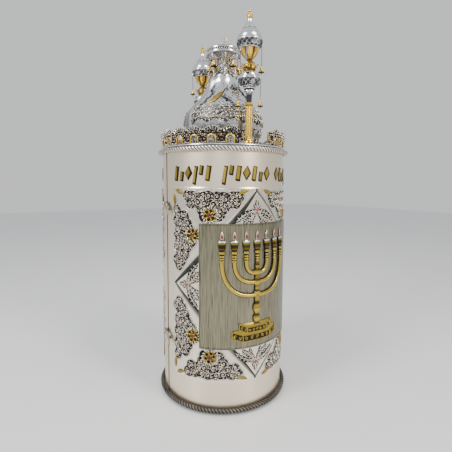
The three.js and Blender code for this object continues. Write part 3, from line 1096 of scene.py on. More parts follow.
    def _leaf(self, gilt: Stock, x: float, y: float, slope: float, hand: int) -> None:
        """Add one serrated leaf with a raised rib.

        Args:
            gilt: Where it goes.
            x: Arc of its middle.
            y: Rise of its middle.
            slope: Angle of its rib.
            hand: +1 or -1, the way that it curves.
        """
        t = np.linspace(-1, 1, 23)
        path = laid(x, y, slope, 12.5 * t, hand * (1.5 * t**2 - 0.75), 1.6)
        serrated = leaf_width(23, 0.45) * (1 + 0.22 * np.sin(np.arange(23) * math.pi / 2))
        gilt.rod(path - [0, 0, 0.9], 5.4 * serrated + 0.6, 0.6, 6, top=1.0)
        gilt.rod(path, 4.3 * serrated + 0.2, 1.0, 6, dark=1.3, top=0.3)
        gilt.rod(path + [0, 0, 0.85], 0.7 * leaf_width(23, 0.4) + 0.1, 0.55, 4)


@dataclass
class RaisedDiamond(FieldWork):
    """The raised diamond: a bevelled frame round a field with a floral spray in each tip."""

    wide: tuple[float, ...] = (0, 0.7, 1.6, 3.0, 8.6, 9.4, 10.6, 12.5)
    narrow: tuple[float, ...] = (0, 0.7, 1.6, 2.2, 5.2, 5.8, 6.6, 8.5)
    wide_rise: tuple[float, ...] = (1.5, 3.1, 3.1, 2.7, 1.3, 2.5, 2.5, 2.0)
    narrow_rise: tuple[float, ...] = (1.5, 3.1, 3.1, 1.5, 1.5, 2.5, 2.5, 2.0)
    tip_share: float = 0.5
    swell: float = 1.35
    stones: tuple[tuple[float, float], ...] = ((0, 158), (-148, 1), (0, -162), (148, 1))

    def build(self) -> None:
        """Make the diamond, its beads, its sprays and its stones."""
        self._body()
        sprays, stones = self.stock(), self.stock()
        for arc, rise in self.stones:
            self._spray(sprays, arc, rise)
            sprays.beads([arc, rise, 2.2], 4.9, 1.3, 12, dark=1.0)
            stones.beads([arc, rise, 3.1], 3.8, 2.4, 10, dark=0.0)
        self._beading(sprays)
        self.hand_over(sprays, "diamond_sprays", Slot.OXIDISED, Finish.CHASED, crease=70)
        self.hand_over(stones, "diamond_stones", Slot.STONE, Finish.STONE)

    def _place(self, first: Array, second: Array) -> tuple[Array, Array]:
        """Return (arc, rise) of places given along the diamond's two slants, from -1 to 1."""
        return (first - second) * self.layout.half_arc / 2, (first + second) * self.layout.half_height / 2

    def _swollen(self, distance: Array, along: Array) -> Array:
        """Return distances from an edge, stretched so that its facet is widest at mid-edge.

        Args:
            distance: Distances from the edge.
            along: Places along the edge, from -1 to 1.

        Returns:
            The stretched distances.
        """
        facet, whole = self.wide[-1], 2 * self.layout.span
        swollen = facet * (self.tip_share + self.swell * (1 - along**2))
        beyond = swollen + (distance - facet) * (whole - swollen) / (whole - facet)
        return np.where(distance < facet, distance * swollen / facet, beyond)

    def _body(self) -> None:
        """Make the bevelled body, open under the panel."""
        span = self.layout.span
        inner = np.arange(15.0, 2 * span - 14, 6.0)
        first = np.concatenate([self.wide, inner, 2 * span - np.array(self.narrow)[::-1]]) - span
        second = np.concatenate([self.narrow, inner, 2 * span - np.array(self.wide)[::-1]]) - span
        p, q = np.meshgrid(first / span, second / span, indexing="ij")
        lower_left, upper_left = (1 + p) * span, (1 - q) * span
        arc, rise = self._place(self._swollen(lower_left, q) / span - 1,
                                1 - self._swollen(upper_left, p) / span)
        left = np.minimum(lower_left, upper_left)
        right = np.minimum((1 - p), (1 + q)) * span
        depth = np.minimum(np.interp(left, self.wide, self.wide_rise),
                           np.interp(right, self.narrow, self.narrow_rise))
        depth = np.where((left > 12.4) & (right > 8.4), 2.0, depth)
        # Painted shade on the bevel: each left facet darkens towards its inner edge by its own amount, and
        # the narrow right groove is dark.
        across = [1.5, 3.0, 8.6, 9.4]
        left_dark = np.where(lower_left < upper_left, np.interp(lower_left, across, [0, 0.35, 1.0, 0]),
                             np.interp(upper_left, across, [0, 0.75, 0.95, 0]))
        right_dark = np.interp(right, [1.5, 2.2, 5.2, 5.8], [0, 1, 1, 0])
        recess = np.maximum(left_dark, right_dark)
        hidden = (np.abs(arc) < self.layout.panel_arc - 3) & (np.abs(rise) < self.layout.panel_height - 3)
        whole = hidden[:-1, :-1] & hidden[1:, 1:] & hidden[1:, :-1] & hidden[:-1, 1:]
        stock = self.stock()
        stock.sheet(arc, rise, depth, 1.2, recess, ~whole)
        self.hand_over(stock, "raised_diamond", Slot.BRIGHT, Finish.FACET, ["diamond"], 25)

    def _beading(self, stock: Stock) -> None:
        """Add the row of beads in the narrow groove of the two right-hand edges.

        Args:
            stock: Where it goes.
        """
        along = np.linspace(-0.97, 0.97, 92)
        inset = 1 - 3.7 / self.layout.span
        for p, q in ((inset, along), (along, -inset)):
            stock.beads(xyz(*self._place(p, q), 1.5), 0.95, 1.0, 6, top=0.15)

    def _inked(self, stock: Stock, path: Array, width: Array) -> None:
        """Add a bright leaf or stem on a wider black one."""
        stock.rod(path - [0, 0, 0.4], width + 2.3, 0.55, 6, top=1.0)
        stock.rod(path, width, 0.85, 5, dark=1.35)

    def _spray(self, stock: Stock, arc: float, rise: float) -> None:
        """Add one spray round a stone: a leaf to the tip, and branches back towards the panel.

        Args:
            stock: Where it goes.
            arc: The stone's arc.
            rise: The stone's rise.
        """
        lay = partial(laid, arc, rise, math.atan2(rise, arc))
        t = np.linspace(0, 1, 7)
        self._inked(stock, lay(5 + 14 * t, 0, 2.6), 2.2 * leaf_width(7) + 0.2)
        for hand in (-1, 1):
            self._inked(stock, lay(3 + 7 * t, hand * (2 + 5 * t), 2.6), 1.7 * leaf_width(7) + 0.2)
            for reach, drop, bow in ((36, 17, 4), (22, 21, -3), (9, 20, 2)):
                along, across = -2 - drop * t + bow * np.sin(math.pi * t), hand * (3 + reach * t)
                stock.rod(lay(along, across, 2.15), 5.6 * leaf_width(7, 0.6) + 0.3, 0.5, 6, top=1.0)
                self._inked(stock, lay(along, across, 2.6), np.full(7, 0.7))
                shares = np.linspace(0.15, 1.0, 5 if reach > 20 else 3)
                for share, tilt in product(shares, (-1.1, 0.35, 1.6)):
                    aim = math.atan2(hand * reach, -drop) + hand * tilt
                    leaf = np.linspace(0.5, 7.4 * (1.1 - 0.3 * abs(tilt - 0.3)), 5)
                    turned = laid(np.interp(share, t, along), np.interp(share, t, across), aim, leaf,
                                  tilt * 0.06 * leaf**1.4, 2.6)
                    self._inked(stock, lay(turned[:, 0], turned[:, 1], 2.6), 1.1 * leaf_width(5) + 0.1)


@dataclass
class CentrePanel(FieldWork):
    """The plain panel over the diamond, brushed upright, with a thin raised edge."""

    face: float = 3.5
    back: float = 2.5

    def build(self) -> None:
        """Make the panel."""
        steps = np.array([0, 0.6, 1.4, 2.0, 2.6])
        wide, tall = self.layout.panel_arc, self.layout.panel_height
        arcs = np.concatenate([steps - wide, np.linspace(5 - wide, wide - 5, 61), wide - steps[::-1]])
        rises = np.concatenate([steps - tall, np.linspace(6 - tall, tall - 6, 12), tall - steps[::-1]])
        arc, rise = np.meshgrid(arcs, rises)
        edge = np.minimum(wide - np.abs(arc), tall - np.abs(rise))
        depth = np.interp(edge, steps, [2.9, 4.0, 4.0, self.face, self.face])
        # Painted shade at the outer edge and in the crease inside the raised edge.
        recess = np.interp(edge, [0, 0.5, 1.4, 1.9, 2.6, 5], [0.5, 0, 0, 0.8, 0.3, 0.08])
        stock = self.stock()
        stock.sheet(arc, rise, depth, self.back, recess)
        self.hand_over(stock, "centre_panel_sheet", Slot.SATIN, Finish.STREAKED, ["centre_panel"], 30)


@dataclass
class Lampstand(SubAssembly):
    """A seven-armed lampstand in gilt relief, on the front panel."""

    back: float = 3.7
    arm_pitch: float = 24.3
    arm_top: float = 322.0
    tiers: tuple[tuple[float, ...], ...] = ((52, 31, 155.5, 14, 180, 5.4), (38, 22, 173, 12, 192, 4.9))
    arc_bottoms: tuple[float, ...] = (296.0, 277.0, 250.0)
    cup: tuple[tuple[float, float, float], ...] = (
        (319, 4.1, 0.2), (320.5, 4.2, 1), (321, 5.3, 0), (323.4, 5.3, 0.1), (324, 4.4, 1),
        (325.6, 4.4, 1), (326.2, 5.3, 0), (328.6, 5.3, 0.1), (329.2, 4.4, 1), (330.8, 4.4, 1),
        (331.4, 5.3, 0), (333.6, 5.2, 0.1), (334.4, 4.1, 1), (337, 4.4, 0.8), (338, 6.3, 0.1),
        (341.5, 6.6, 0), (343, 5.0, 0.9), (345.5, 5.2, 0.9), (347, 6.6, 0.45), (351, 7.0, 0.8),
        (355, 7.4, 0.85), (357.5, 8.0, 0.3), (360, 7.0, 0.2),
    )
    stem: tuple[tuple[float, float, float], ...] = (
        (184, 10.5, 0.6), (188, 9.5, 0.1), (192, 6, 0.8), (196, 7.2, 0.1), (200, 8.6, 0), (205, 8.2, 0.3),
        (209, 4.6, 1), (213, 5.2, 0.2), (219, 8.2, 0), (224, 9.2, 0.3), (229, 7.8, 0.1), (234, 5, 0.9),
        (240, 5.6, 0.2), (247, 5.4, 0.1), (251, 4.4, 0.9), (253, 7.6, 0), (257, 8, 0), (259, 5, 0.9),
        (264, 5.6, 0.1), (270, 5, 0.5), (273, 7.6, 0.1), (278, 8.6, 0), (282, 6, 0.8), (287, 5, 0.3),
        (292, 5.2, 0.5), (294, 9, 0.2), (297, 13.5, 0), (300, 14.4, 0.1), (301.5, 9, 0.6),
        (304, 4.6, 0.7), (308, 4.6, 0.3), (311, 6.0, 0), (313, 4.5, 0.8), (320, 4.4, 0.3),
    )

    def build(self) -> None:
        """Make the gilt relief, the silver drip pans and flames, and the flame stones."""
        gilt, silver, flames, stones = (self.half.stock() for _ in range(4))
        self._arms(gilt)
        self._upright(gilt, 0.0, self.stem)
        for k in range(-3, 4):
            arc = k * self.arm_pitch
            self._upright(gilt, arc, self.cup)
            self._flame(silver, flames, stones, arc)
        self._foot(gilt)
        self.hand_over(gilt, "gilt_lampstand", Slot.GILT, Finish.ANTIQUE, ["lampstand"], 50)
        self.hand_over(silver, "drip_pans", Slot.BRIGHT, Finish.POLISHED)
        self.hand_over(flames, "lamp_flames", Slot.BRIGHT, Finish.ROSY)
        self.hand_over(stones, "flame_stones", Slot.STONE, Finish.GARNET)

    def _arms(self, gilt: Stock) -> None:
        """Add the three curved arms on each side, each pair one rod.

        Args:
            gilt: Where they go.
        """
        for order, bottom in enumerate(self.arc_bottoms):
            turn = np.linspace(-math.pi / 2, math.pi / 2, 61)
            sway = np.sign(turn) * np.abs(np.sin(turn)) ** 0.66
            path = xyz(self.arm_pitch * (order + 1) * sway,
                       self.arm_top - (self.arm_top - bottom) * np.cos(turn) ** 0.95, self.back + 2.3)
            gilt.rod(path, 4.0, 2.9, 14, dark=1.45)
            # A wider dark copy behind each arm: painted shade round it on the panel.
            gilt.rod(path - [0, 0, 1.8], 5.0, 0.7, 8, top=1.0)

    def _upright(self, gilt: Stock, arc: float, outline: Sequence[Sequence[float]]) -> None:
        """Add a turned upright, flattened against the panel.

        Args:
            gilt: Where it goes.
            arc: Its arc.
            outline: Its rows, as (height, half width, darkness: painted shade in the narrow grooves, and the
                cups' dark engraving).
        """
        levels, widths, darks = np.array(outline, float).T
        gilt.rod(xyz(arc, levels, self.back + 2.0), widths, np.minimum(widths * 0.62, 3.7) + 0.3, 14,
                 dark=1.45, top=darks)

    def _flame(self, silver: Stock, flames: Stock, stones: Stock, arc: float) -> None:
        """Add a drip pan and a flame with its stone.

        Args:
            silver: Where the pan goes.
            flames: Where the flame goes.
            stones: Where the stone goes.
            arc: Its arc.
        """
        pan = xyz(arc, np.array([359.5, 361, 362.6, 364]), np.array([5.6, 6.0, 6.2, 6.0]))
        silver.rod(pan, np.array([6.2, 7.9, 8.1, 5.2]), np.array([2.0, 2.6, 2.6, 1.4]), 12, dark=0.4)
        t = np.linspace(0, 1, 9)
        shape = np.sin(math.pi * t**0.72)
        flames.rod(xyz(arc, 365 + 18 * t, 5.0), 3.8 * shape + 0.25, 1.6 * shape + 0.2, 10, dark=0.6)
        stones.rod(xyz(arc, 366.5 + 12 * t, 6.0), 2.7 * shape + 0.1, 1.5 * shape + 0.1, 8, dark=0.0)

    def _bent(self, arcs: Array | float, knots: Array, outer: float, inner: float) -> tuple[Array, Array]:
        """Return how high and how far out a tier of the foot stands, which bends back at its sides.

        Args:
            arcs: Places along it.
            knots: Its two ends and, between them, its two bends.
            outer: How far its ends stand out.
            inner: How far its middle stands out.

        Returns:
            The lifts and the depths at those places.
        """
        return (np.interp(arcs, knots, [7, 0, 0, 7]),
                self.back + np.interp(arcs, knots, [outer, inner, inner, outer]))

    def _foot(self, gilt: Stock) -> None:
        """Add the two tiers of the six-sided foot, each face a framed dark panel.

        Args:
            gilt: Where they go.
        """
        for half, flat, low, tall, back_top, depth in self.tiers:
            knots = np.array([-half, -flat, flat, half])
            arcs = np.unique(np.concatenate([np.linspace(-half, -flat, 5), np.linspace(-flat, flat, 11),
                                             np.linspace(flat, half, 5)]))
            lift, front = self._bent(arcs, knots, depth * 0.45, depth)
            rises = np.array([0, 1.2, 1.6, tall - 1.6, tall - 1.2, tall])[:, None]
            shares = np.array([1, 1, 0.93, 0.93, 1, 1])[:, None]
            face = np.concatenate([
                xyz(arcs, low + lift + rises, self.back + (front - self.back) * shares),
                xyz(arcs * 0.72, back_top, self.back + 1.6)[None],
            ])
            behind = xyz(face[..., 0], face[..., 1], self.back - 0.1)
            gilt.shell(face, behind, np.array([0.2, 0.1, 0.95, 0.95, 0.0, 0.0, 0.1])[:, None])
            for rise in (0.8, tall):
                gilt.rod(xyz(arcs, low + lift + rise, front), 0.9, 0.8, 6, dark=0.5)
            self._foot_panels(gilt, knots, low, tall, depth)

    def _foot_panels(self, gilt: Stock, knots: Array, low: float, tall: float, depth: float) -> None:
        """Add the bars between a tier's panels and the small scrolls inside them.

        Args:
            gilt: Where they go.
            knots: The tier's ends and bends.
            low: Height of its foot.
            tall: Its height.
            depth: How far it stands out.
        """
        for arc in knots:
            lift, out = self._bent(arc, knots, depth * 0.45, depth)
            bar = xyz(arc, np.linspace(low + lift, low + lift + tall, 4), out)
            gilt.rod(bar, 0.9, 0.8, 6, dark=0.5)
        t = np.linspace(0, 1, 9)
        for arc in np.linspace(knots[0] + 5, knots[3] - 5, 9):
            lift, out = self._bent(arc, knots, depth * 0.4, depth * 0.93)
            scroll = spun(arc, low + lift + tall / 2, tall * 0.27 * (1 - 0.8 * t), 1.2 * TAU * t + arc, out)
            gilt.rod(scroll, 0.6, 0.6, 5, dark=0.9)


# ---- the crown --------------------------------------------------------------------------


def curl_paths(spots: Array, size: Array | float, start: Array | float, hand: Array | float,
               turns: float = 1.3, count: int = 13) -> Array:
    """Return spiral paths.

    Args:
        spots: Their middles, as (curls, 3), or one middle.
        size: Their outer radii.
        start: The angles that they start from.
        hand: +1 or -1, the way that each winds.
        turns: How many turns each makes.
        count: Points on each.

    Returns:
        The paths, as (curls, count, 3).
    """
    t = np.linspace(0, 1, count)
    reach = np.reshape(size, (-1, 1)) * (1 - 0.84 * t)
    angle = np.reshape(start, (-1, 1)) + np.reshape(hand, (-1, 1)) * turns * TAU * t
    return np.reshape(spots, (-1, 1, 3)) + spun(0, 0, reach, angle, 0.6 * t)


@dataclass
class Gallery(SubAssembly):
    """Two pierced strips of round arches under a leafy crest, with gilt rims and stones."""

    base: float = 557.6
    radius: float = 138.6
    flare: float = 3.4
    pitch: float = 15.0
    first: float = 23.5
    arches: int = 5
    near_end: float = 11.0
    opening: float = 7.0
    spring: float = 566.0
    valley: float = 582.5
    hump: float = 590.6
    top: float = 591.5
    stone_level: float = 573.3

    def build(self) -> None:
        """Make both strips."""
        for side, name in ((1, "gallery_left"), (-1, "gallery_right")):
            self._strip(side, name)

    def _lean(self, level: Array | float) -> Array | float:
        """Return how far the strip leans out at a height."""
        return self.flare * (np.asarray(level) - self.base) / (self.top - self.base)

    def _crest(self, offset: Array) -> Array:
        """Return the crest's height at an arc offset from the middle of an arch."""
        swell = np.abs(np.cos(math.pi * offset / self._bay))
        return self.valley + (self.hump - self.valley) * swell

    @property
    def _bay(self) -> float:
        """The arc from one arch to the next."""
        return self.radius * math.radians(self.pitch)

    def _strip(self, side: int, name: str) -> None:
        """Make one strip.

        Args:
            side: +1, or -1 for the mirrored one.
            name: Its CAD node, without the half.
        """
        plate, silver, gilt, stones = (self.half.stock(radius=self.radius) for _ in range(4))
        limit = self.radius * math.pi / 2 - 0.35
        for k in range(self.arches):
            middle = self.radius * math.radians(self.first + k * self.pitch)
            left, right = middle - self._bay / 2, min(middle + self._bay / 2, limit)
            if k == 0:
                left = self.radius * math.radians(self.near_end)
            self._bay_plate(plate, side, middle, left, right)
            self._rim(gilt, side, middle)
            self._foliage(silver, side, middle, left, right)
            self._pier(silver, gilt, stones, side, right - (3.2 if k == self.arches - 1 else 0))
        first_pier = self.radius * math.radians(self.near_end) + 3.4
        self._pier(silver, gilt, stones, side, first_pier + 2)
        end = np.linspace(self.base + 0.8, self.valley, 8)
        gilt.rod(xyz(side * (first_pier - 2.6), end, self._lean(end) + 1.2), 0.9, 1.0, 6, dark=0.6)
        self.hand_over(plate, f"{name}_plate", Slot.OXIDISED, Finish.CHASED, [name], 30)
        self.hand_over(silver, f"{name}_leaves", Slot.OXIDISED, Finish.CHASED, crease=70)
        self.hand_over(gilt, f"{name}_gilt_arches", Slot.GILT, Finish.GILT, crease=60)
        self.hand_over(stones, f"{name}_stones", Slot.STONE, Finish.GARNET)

    def _opening_path(self, middle: float, grow: float, count: int) -> Array:
        """Return the outline of an arch's opening, from foot to foot.

        Args:
            middle: Arc of its middle.
            grow: How far outside the opening it runs.
            count: Points on each leg.

        Returns:
            The outline, as (arc, height).
        """
        reach = self.opening + grow
        levels = self.base + 0.2 + (self.spring - self.base) * np.linspace(0, 1, count)
        bow = spun(middle, self.spring, reach, np.linspace(math.pi, 0, 2 * count), 0)[:, :2]
        left = np.column_stack([np.full(count, middle - reach), levels])
        return np.concatenate([left[:-1], bow, (left[::-1] * [-1, 1] + [2 * middle, 0])[1:]])

    def _bay_plate(self, plate: Stock, side: int, middle: float, left: float, right: float) -> None:
        """Add the pierced plate of one arch.

        Args:
            plate: Where it goes.
            side: +1, or -1 for a mirrored one.
            middle: Arc of its middle.
            left: Arc of its left end.
            right: Arc of its right end.
        """
        count = 7
        legs = np.linspace(0, 1, count)
        arcs = np.linspace(left, right, 2 * count)
        crest = self._crest((arcs - middle).clip(-self._bay / 2, self._bay / 2))
        crest = crest + 0.9 * np.abs(np.sin(np.linspace(0, 5 * math.pi, 2 * count)))
        outer = np.concatenate([
            np.column_stack([np.full(count, left), self.base + (crest[0] - self.base) * legs])[:-1],
            np.column_stack([arcs, crest]),
            np.column_stack([np.full(count, right), crest[-1] + (self.base - crest[-1]) * legs])[1:],
        ])
        share = np.linspace(0, 1, 5)[:, None, None]
        flat = self._opening_path(middle, 0.0, count) * (1 - share) + outer * share
        face = xyz(side * flat[..., 0], flat[..., 1], self._lean(flat[..., 1]) + 0.9)
        plate.shell(face, face - [0, 0, 1.8], np.array([0.9, 1, 1, 1, 0.8])[:, None], behind=0.3)

    def _rim(self, gilt: Stock, side: int, middle: float) -> None:
        """Add the gilt rim of one arch, outside and inside.

        Args:
            gilt: Where it goes.
            side: +1, or -1 for a mirrored one.
            middle: Arc of its middle.
        """
        arc, level = self._opening_path(middle, 1.1, 6).T
        for out, width, height, sides, dark in ((1.3, 1.5, 1.2, 8, 0.8), (-1.2, 1.25, 0.8, 6, 0.7)):
            gilt.rod(xyz(side * arc, level, self._lean(level) + out), width, height, sides, dark=dark)

    def _foliage(self, silver: Stock, side: int, middle: float, left: float, right: float) -> None:
        """Add the curls over one arch and its piers, and the leaves and beads of its crest.

        Args:
            silver: Where they go.
            side: +1, or -1 for a mirrored one.
            middle: Arc of the arch's middle.
            left: Arc of its left end.
            right: Arc of its right end.
        """
        rng = np.random.default_rng(int(middle) + 5)
        spots = []
        for row, level in enumerate(np.arange(560.8, 589.0, 4.5)):
            for arc in np.arange(left + 2.5 + 2.3 * (row % 2), right - 1.9, 4.6):
                spot = np.array([arc, level]) + rng.uniform(-0.5, 0.5, 2)
                offset = spot[0] - middle
                over = math.hypot(offset, max(spot[1] - self.spring, 0.0)) > self.opening + 4.2
                edge = abs(abs(offset) - self._bay / 2) > 3.2 or abs(level - self.stone_level) > 3.6
                if over and edge and spot[1] < self._crest(abs(offset)) - 2.2:
                    spots.append([side * spot[0], spot[1], float(self._lean(spot[1])) + 1.2])
        count = len(spots)
        curls = curl_paths(spots, rng.uniform(1.8, 2.4, count), rng.uniform(0, TAU, count),
                           rng.choice([-1.0, 1.0], count), 0.8, 9)
        silver.rod(curls, 0.66, 0.9, 5, dark=1.15)
        arcs = np.linspace(-self._bay / 2 + 1.1, self._bay / 2 - 1.1, 13)
        arcs = arcs[middle + arcs < right - 0.8]
        levels = self._crest(arcs) - 0.3
        silver.beads(xyz(side * (middle + arcs), levels, self._lean(levels) + 0.9), 1.15, 1.3, 8, dark=1.0)
        t = np.linspace(0, 1, 5)
        for arc, level in zip(arcs[1:-1:2], levels[1:-1:2]):
            path = xyz(side * (middle + arc * (0.8 + 0.2 * t)), level - 5.5 + 5 * t,
                       self._lean(level) + 1.7)
            silver.rod(path, 1.0 * leaf_width(5) + 0.1, 0.9, 4, dark=1.0)

    def _pier(self, silver: Stock, gilt: Stock, stones: Stock, side: int, arc: float) -> None:
        """Add the stone of one pier in its setting, and the beads at its foot.

        Args:
            silver: Where the beads go.
            gilt: Where the setting goes.
            stones: Where the stone goes.
            side: +1, or -1 for a mirrored one.
            arc: Arc of the pier.
        """
        lean = self._lean(self.stone_level)
        gilt.beads([side * arc, self.stone_level, lean + 0.9], 2.9, 1.1, 10)
        stones.beads([side * arc, self.stone_level, lean + 1.5], 2.0, 1.9, 8, dark=0.0)
        feet = arc + np.arange(-6, 7, 3)
        feet = feet[feet < self.radius * math.pi / 2 - 2]
        silver.beads(xyz(side * feet, 559.0, self._lean(559.0) + 0.9), 1.2, 1.2, 7)


@dataclass
class Dome(SubAssembly):
    """Half of the onion dome: bordered at the parting plane, embossed below, chased above."""

    knots: tuple[tuple[float, float], ...] = (
        (79, 557.6), (84, 580), (91, 608), (88, 632), (70, 655), (50, 680), (34, 705), (28, 722),
    )
    rows: int = 84
    columns: int = 129
    arc_radius: float = 88.0
    border: float = 19.5
    ridge_pitch: float = 4.7
    hem: float = 607.0
    scallop: float = 9.0
    worked_top: float = 648.0
    seed: int = 21

    def build(self) -> None:
        """Make the dome and what is worked on it."""
        self.outline = smooth_through(self.knots, self.rows)
        self.rng = np.random.default_rng(self.seed)
        self._body()
        wrap = {"radius": self.arc_radius, "profile": self._radius}
        silver, gilt = self.half.stock(**wrap), self.half.stock(**wrap)
        self._belt(silver)
        self._chasing(silver)
        self._sprigs(gilt)
        self.hand_over(silver, "dome_chasing", Slot.BRIGHT, Finish.CHASED, crease=70)
        self.hand_over(gilt, "dome_gilt_leaves", Slot.GILT, Finish.GILT, crease=60)

    def _radius(self, level: Array) -> Array:
        """Return the dome's radius at a height."""
        return np.interp(level, self.outline[:, 1], self.outline[:, 0])

    def _body(self) -> None:
        """Make the dome itself, with the ridges of its border and its scalloped hem."""
        angles = np.linspace(-math.pi / 2, math.pi / 2, self.columns)
        radius, level = self.outline[:, :1], self.outline[:, 1:]
        edge = radius * (math.pi / 2 - np.abs(angles))[None, :]
        border = np.clip((self.border - edge) / 2, 0, 1)
        ridge = np.abs(np.cos(math.pi * edge / self.ridge_pitch))
        hem = self.hem + self.scallop * np.abs(np.sin(7 * angles))[None, :]
        below = np.clip((hem - level) / 1.2 + 0.5, 0, 1) * (1 - border)
        line = np.exp(-((level - hem) / 1.3) ** 2) * (1 - border)
        grain = self.rng.uniform(0, 1, edge.shape) * below
        worked = np.clip((self.worked_top - level) / 8, 0, 1) * (1 - border) * (1 - below)
        radii = radius + border * (ridge - 0.5) * 1.3 - below * 1.4 + grain * 0.7 - line * 0.6
        # Painted shade in the grooves between the border's ridges, in the dips of the embossed belt and
        # along the hem line; the band above is darkened at random.
        recess = border * (1.05 - 1.9 * ridge) + below * (0.4 - 0.4 * grain) + line * 0.9
        recess = np.clip(recess + worked * self.rng.uniform(0.2, 0.95, edge.shape), 0, 1)
        stock = self.half.stock(flat=True)
        stock.turned(radii, self.outline[:, 1], angles, recess)
        self.hand_over(stock, "onion_dome", Slot.BRIGHT, Finish.POLISHED, ["dome"], 60)

    def _belt(self, silver: Stock) -> None:
        """Add the embossed blossoms and scrolls of the lower dome.

        Args:
            silver: Where they go.
        """
        spots, sizes = [], []
        for level, count, size in ((618, 17, 6.2), (631, 15, 5.6), (643, 12, 4.6), (590, 13, 4.6),
                                   (572, 12, 4.2)):
            for arc in np.linspace(-1, 1, count) * (math.pi / 2 * self.arc_radius - 24):
                jitter = self.rng.uniform(-1.5, 1.5, 2)
                spots.append([arc + jitter[0], level + jitter[1], 0.5])
                sizes.append(size * self.rng.uniform(0.85, 1.15))
        spots, sizes = np.array(spots), np.array(sizes)
        start = self.rng.uniform(0, TAU, len(spots))
        hand = self.rng.choice([-1.0, 1.0], len(spots))
        silver.rod(curl_paths(spots, sizes, start, hand, 1.35, 13), 0.9, 1.2, 5, dark=1.0)
        silver.beads(spots, sizes * 0.3, 2.2, 8, dark=1.0)
        t = np.linspace(0, 1, 5)
        for turn in turns_of(5):
            swing = (start + turn)[:, None] + hand[:, None] * 0.5 * t
            leaves = spun(spots[:, :1], spots[:, 1:2], sizes[:, None] * (0.95 + 0.75 * t), swing,
                          0.5 + 0.6 * np.sin(math.pi * t))
            silver.rod(leaves, 0.2 + 1.05 * leaf_width(5), 1.0, 5, dark=1.3)

    def _chasing(self, silver: Stock) -> None:
        """Add the dark chased ribbons, scrolls and ticks of the upper dome.

        Args:
            silver: Where they go.
        """
        ribbons = (
            [(-26, 691), (-37, 684), (-47, 676), (-50, 668), (-42, 662), (-31, 657), (-24, 651), (-33, 644),
             (-41, 637)],
            [(-95, 697), (-92, 688), (-85, 676), (-90, 664), (-101, 655), (-98, 647)],
            [(28, 694), (38, 686), (49, 678), (52, 669), (44, 662), (33, 656), (27, 649), (36, 642)],
            [(96, 694), (90, 684), (86, 674), (92, 663), (100, 654)],
            [(2, 699), (-6, 692), (-4, 684), (7, 690), (16, 684), (12, 675)],
        )
        for knots in ribbons:
            course = smooth_through(knots, 41)
            for shift, width in ((0.0, 1.15), (3.4, 0.65), (-3.2, 0.6)):
                path = xyz(course[:, 0] + shift, course[:, 1] + 0.4 * shift, 0.1)
                silver.rod(path, width * leaf_width(41, 0.5) ** 0.4 + 0.1, 0.45, 5, top=0.95)
            for k in range(4, 40, 7):
                spot = [course[k, 0] + 6.0 * (-1) ** k, course[k, 1], 0.1]
                curl = curl_paths(spot, 4.4, k * 1.1, (-1) ** k, 1.0, 11)
                silver.rod(curl, 0.75, 0.5, 5, top=0.9)
        count = 150
        spots = xyz(self.rng.uniform(-112, 112, count), self.rng.uniform(648, 704, count), 0.1)
        spots[:, 0] *= np.interp(spots[:, 1], [648, 704], [1.0, 0.72])
        ticks = curl_paths(spots, self.rng.uniform(2.4, 5.0, count), self.rng.uniform(0, TAU, count),
                           self.rng.choice([-1.0, 1.0], count), 0.3, 5)
        silver.rod(ticks, 0.8 * leaf_width(5, 0.5) + 0.1, 0.5, 4, top=0.9)

    def _sprigs(self, gilt: Stock) -> None:
        """Add the applied gilt leaves, and the gilt sprig with its blossoms.

        Args:
            gilt: Where they go.
        """
        for arc, level, rise, lean, half in ((-83, 651, 27, 38, 6.4), (60, 660, 20, 18, 5.0)):
            t = np.linspace(0, 1, 15)
            path = xyz(arc + lean * t, level + rise * t, 0.7 + 0.5 * np.sin(math.pi * t))
            saw = leaf_width(15, 0.45) ** 0.8 * (1 + 0.13 * np.sin(np.arange(15) * math.pi / 2))
            gilt.rod(path - [0, 0, 0.5], (half + 0.9) * saw + 0.2, 0.8, 6, top=1.0)
            gilt.rod(path, half * saw + 0.15, 1.1, 6, dark=1.2, top=0.35)
            gilt.rod(path + [0, 0, 0.9], 0.6 * leaf_width(15) + 0.1, 0.6, 4)
        knots = [(-15.4, 612), (-10.8, 624), (-10.8, 641), (-2.3, 654), (3, 672), (-7.7, 681)]
        gilt.rod(xyz(*smooth_through(knots, 41).T, 1.0), 0.75, 0.9, 5, dark=0.9)
        gilt.beads(xyz(*np.array(knots, float).T, 0.9), 2.6, 1.9, 7, dark=1.0)


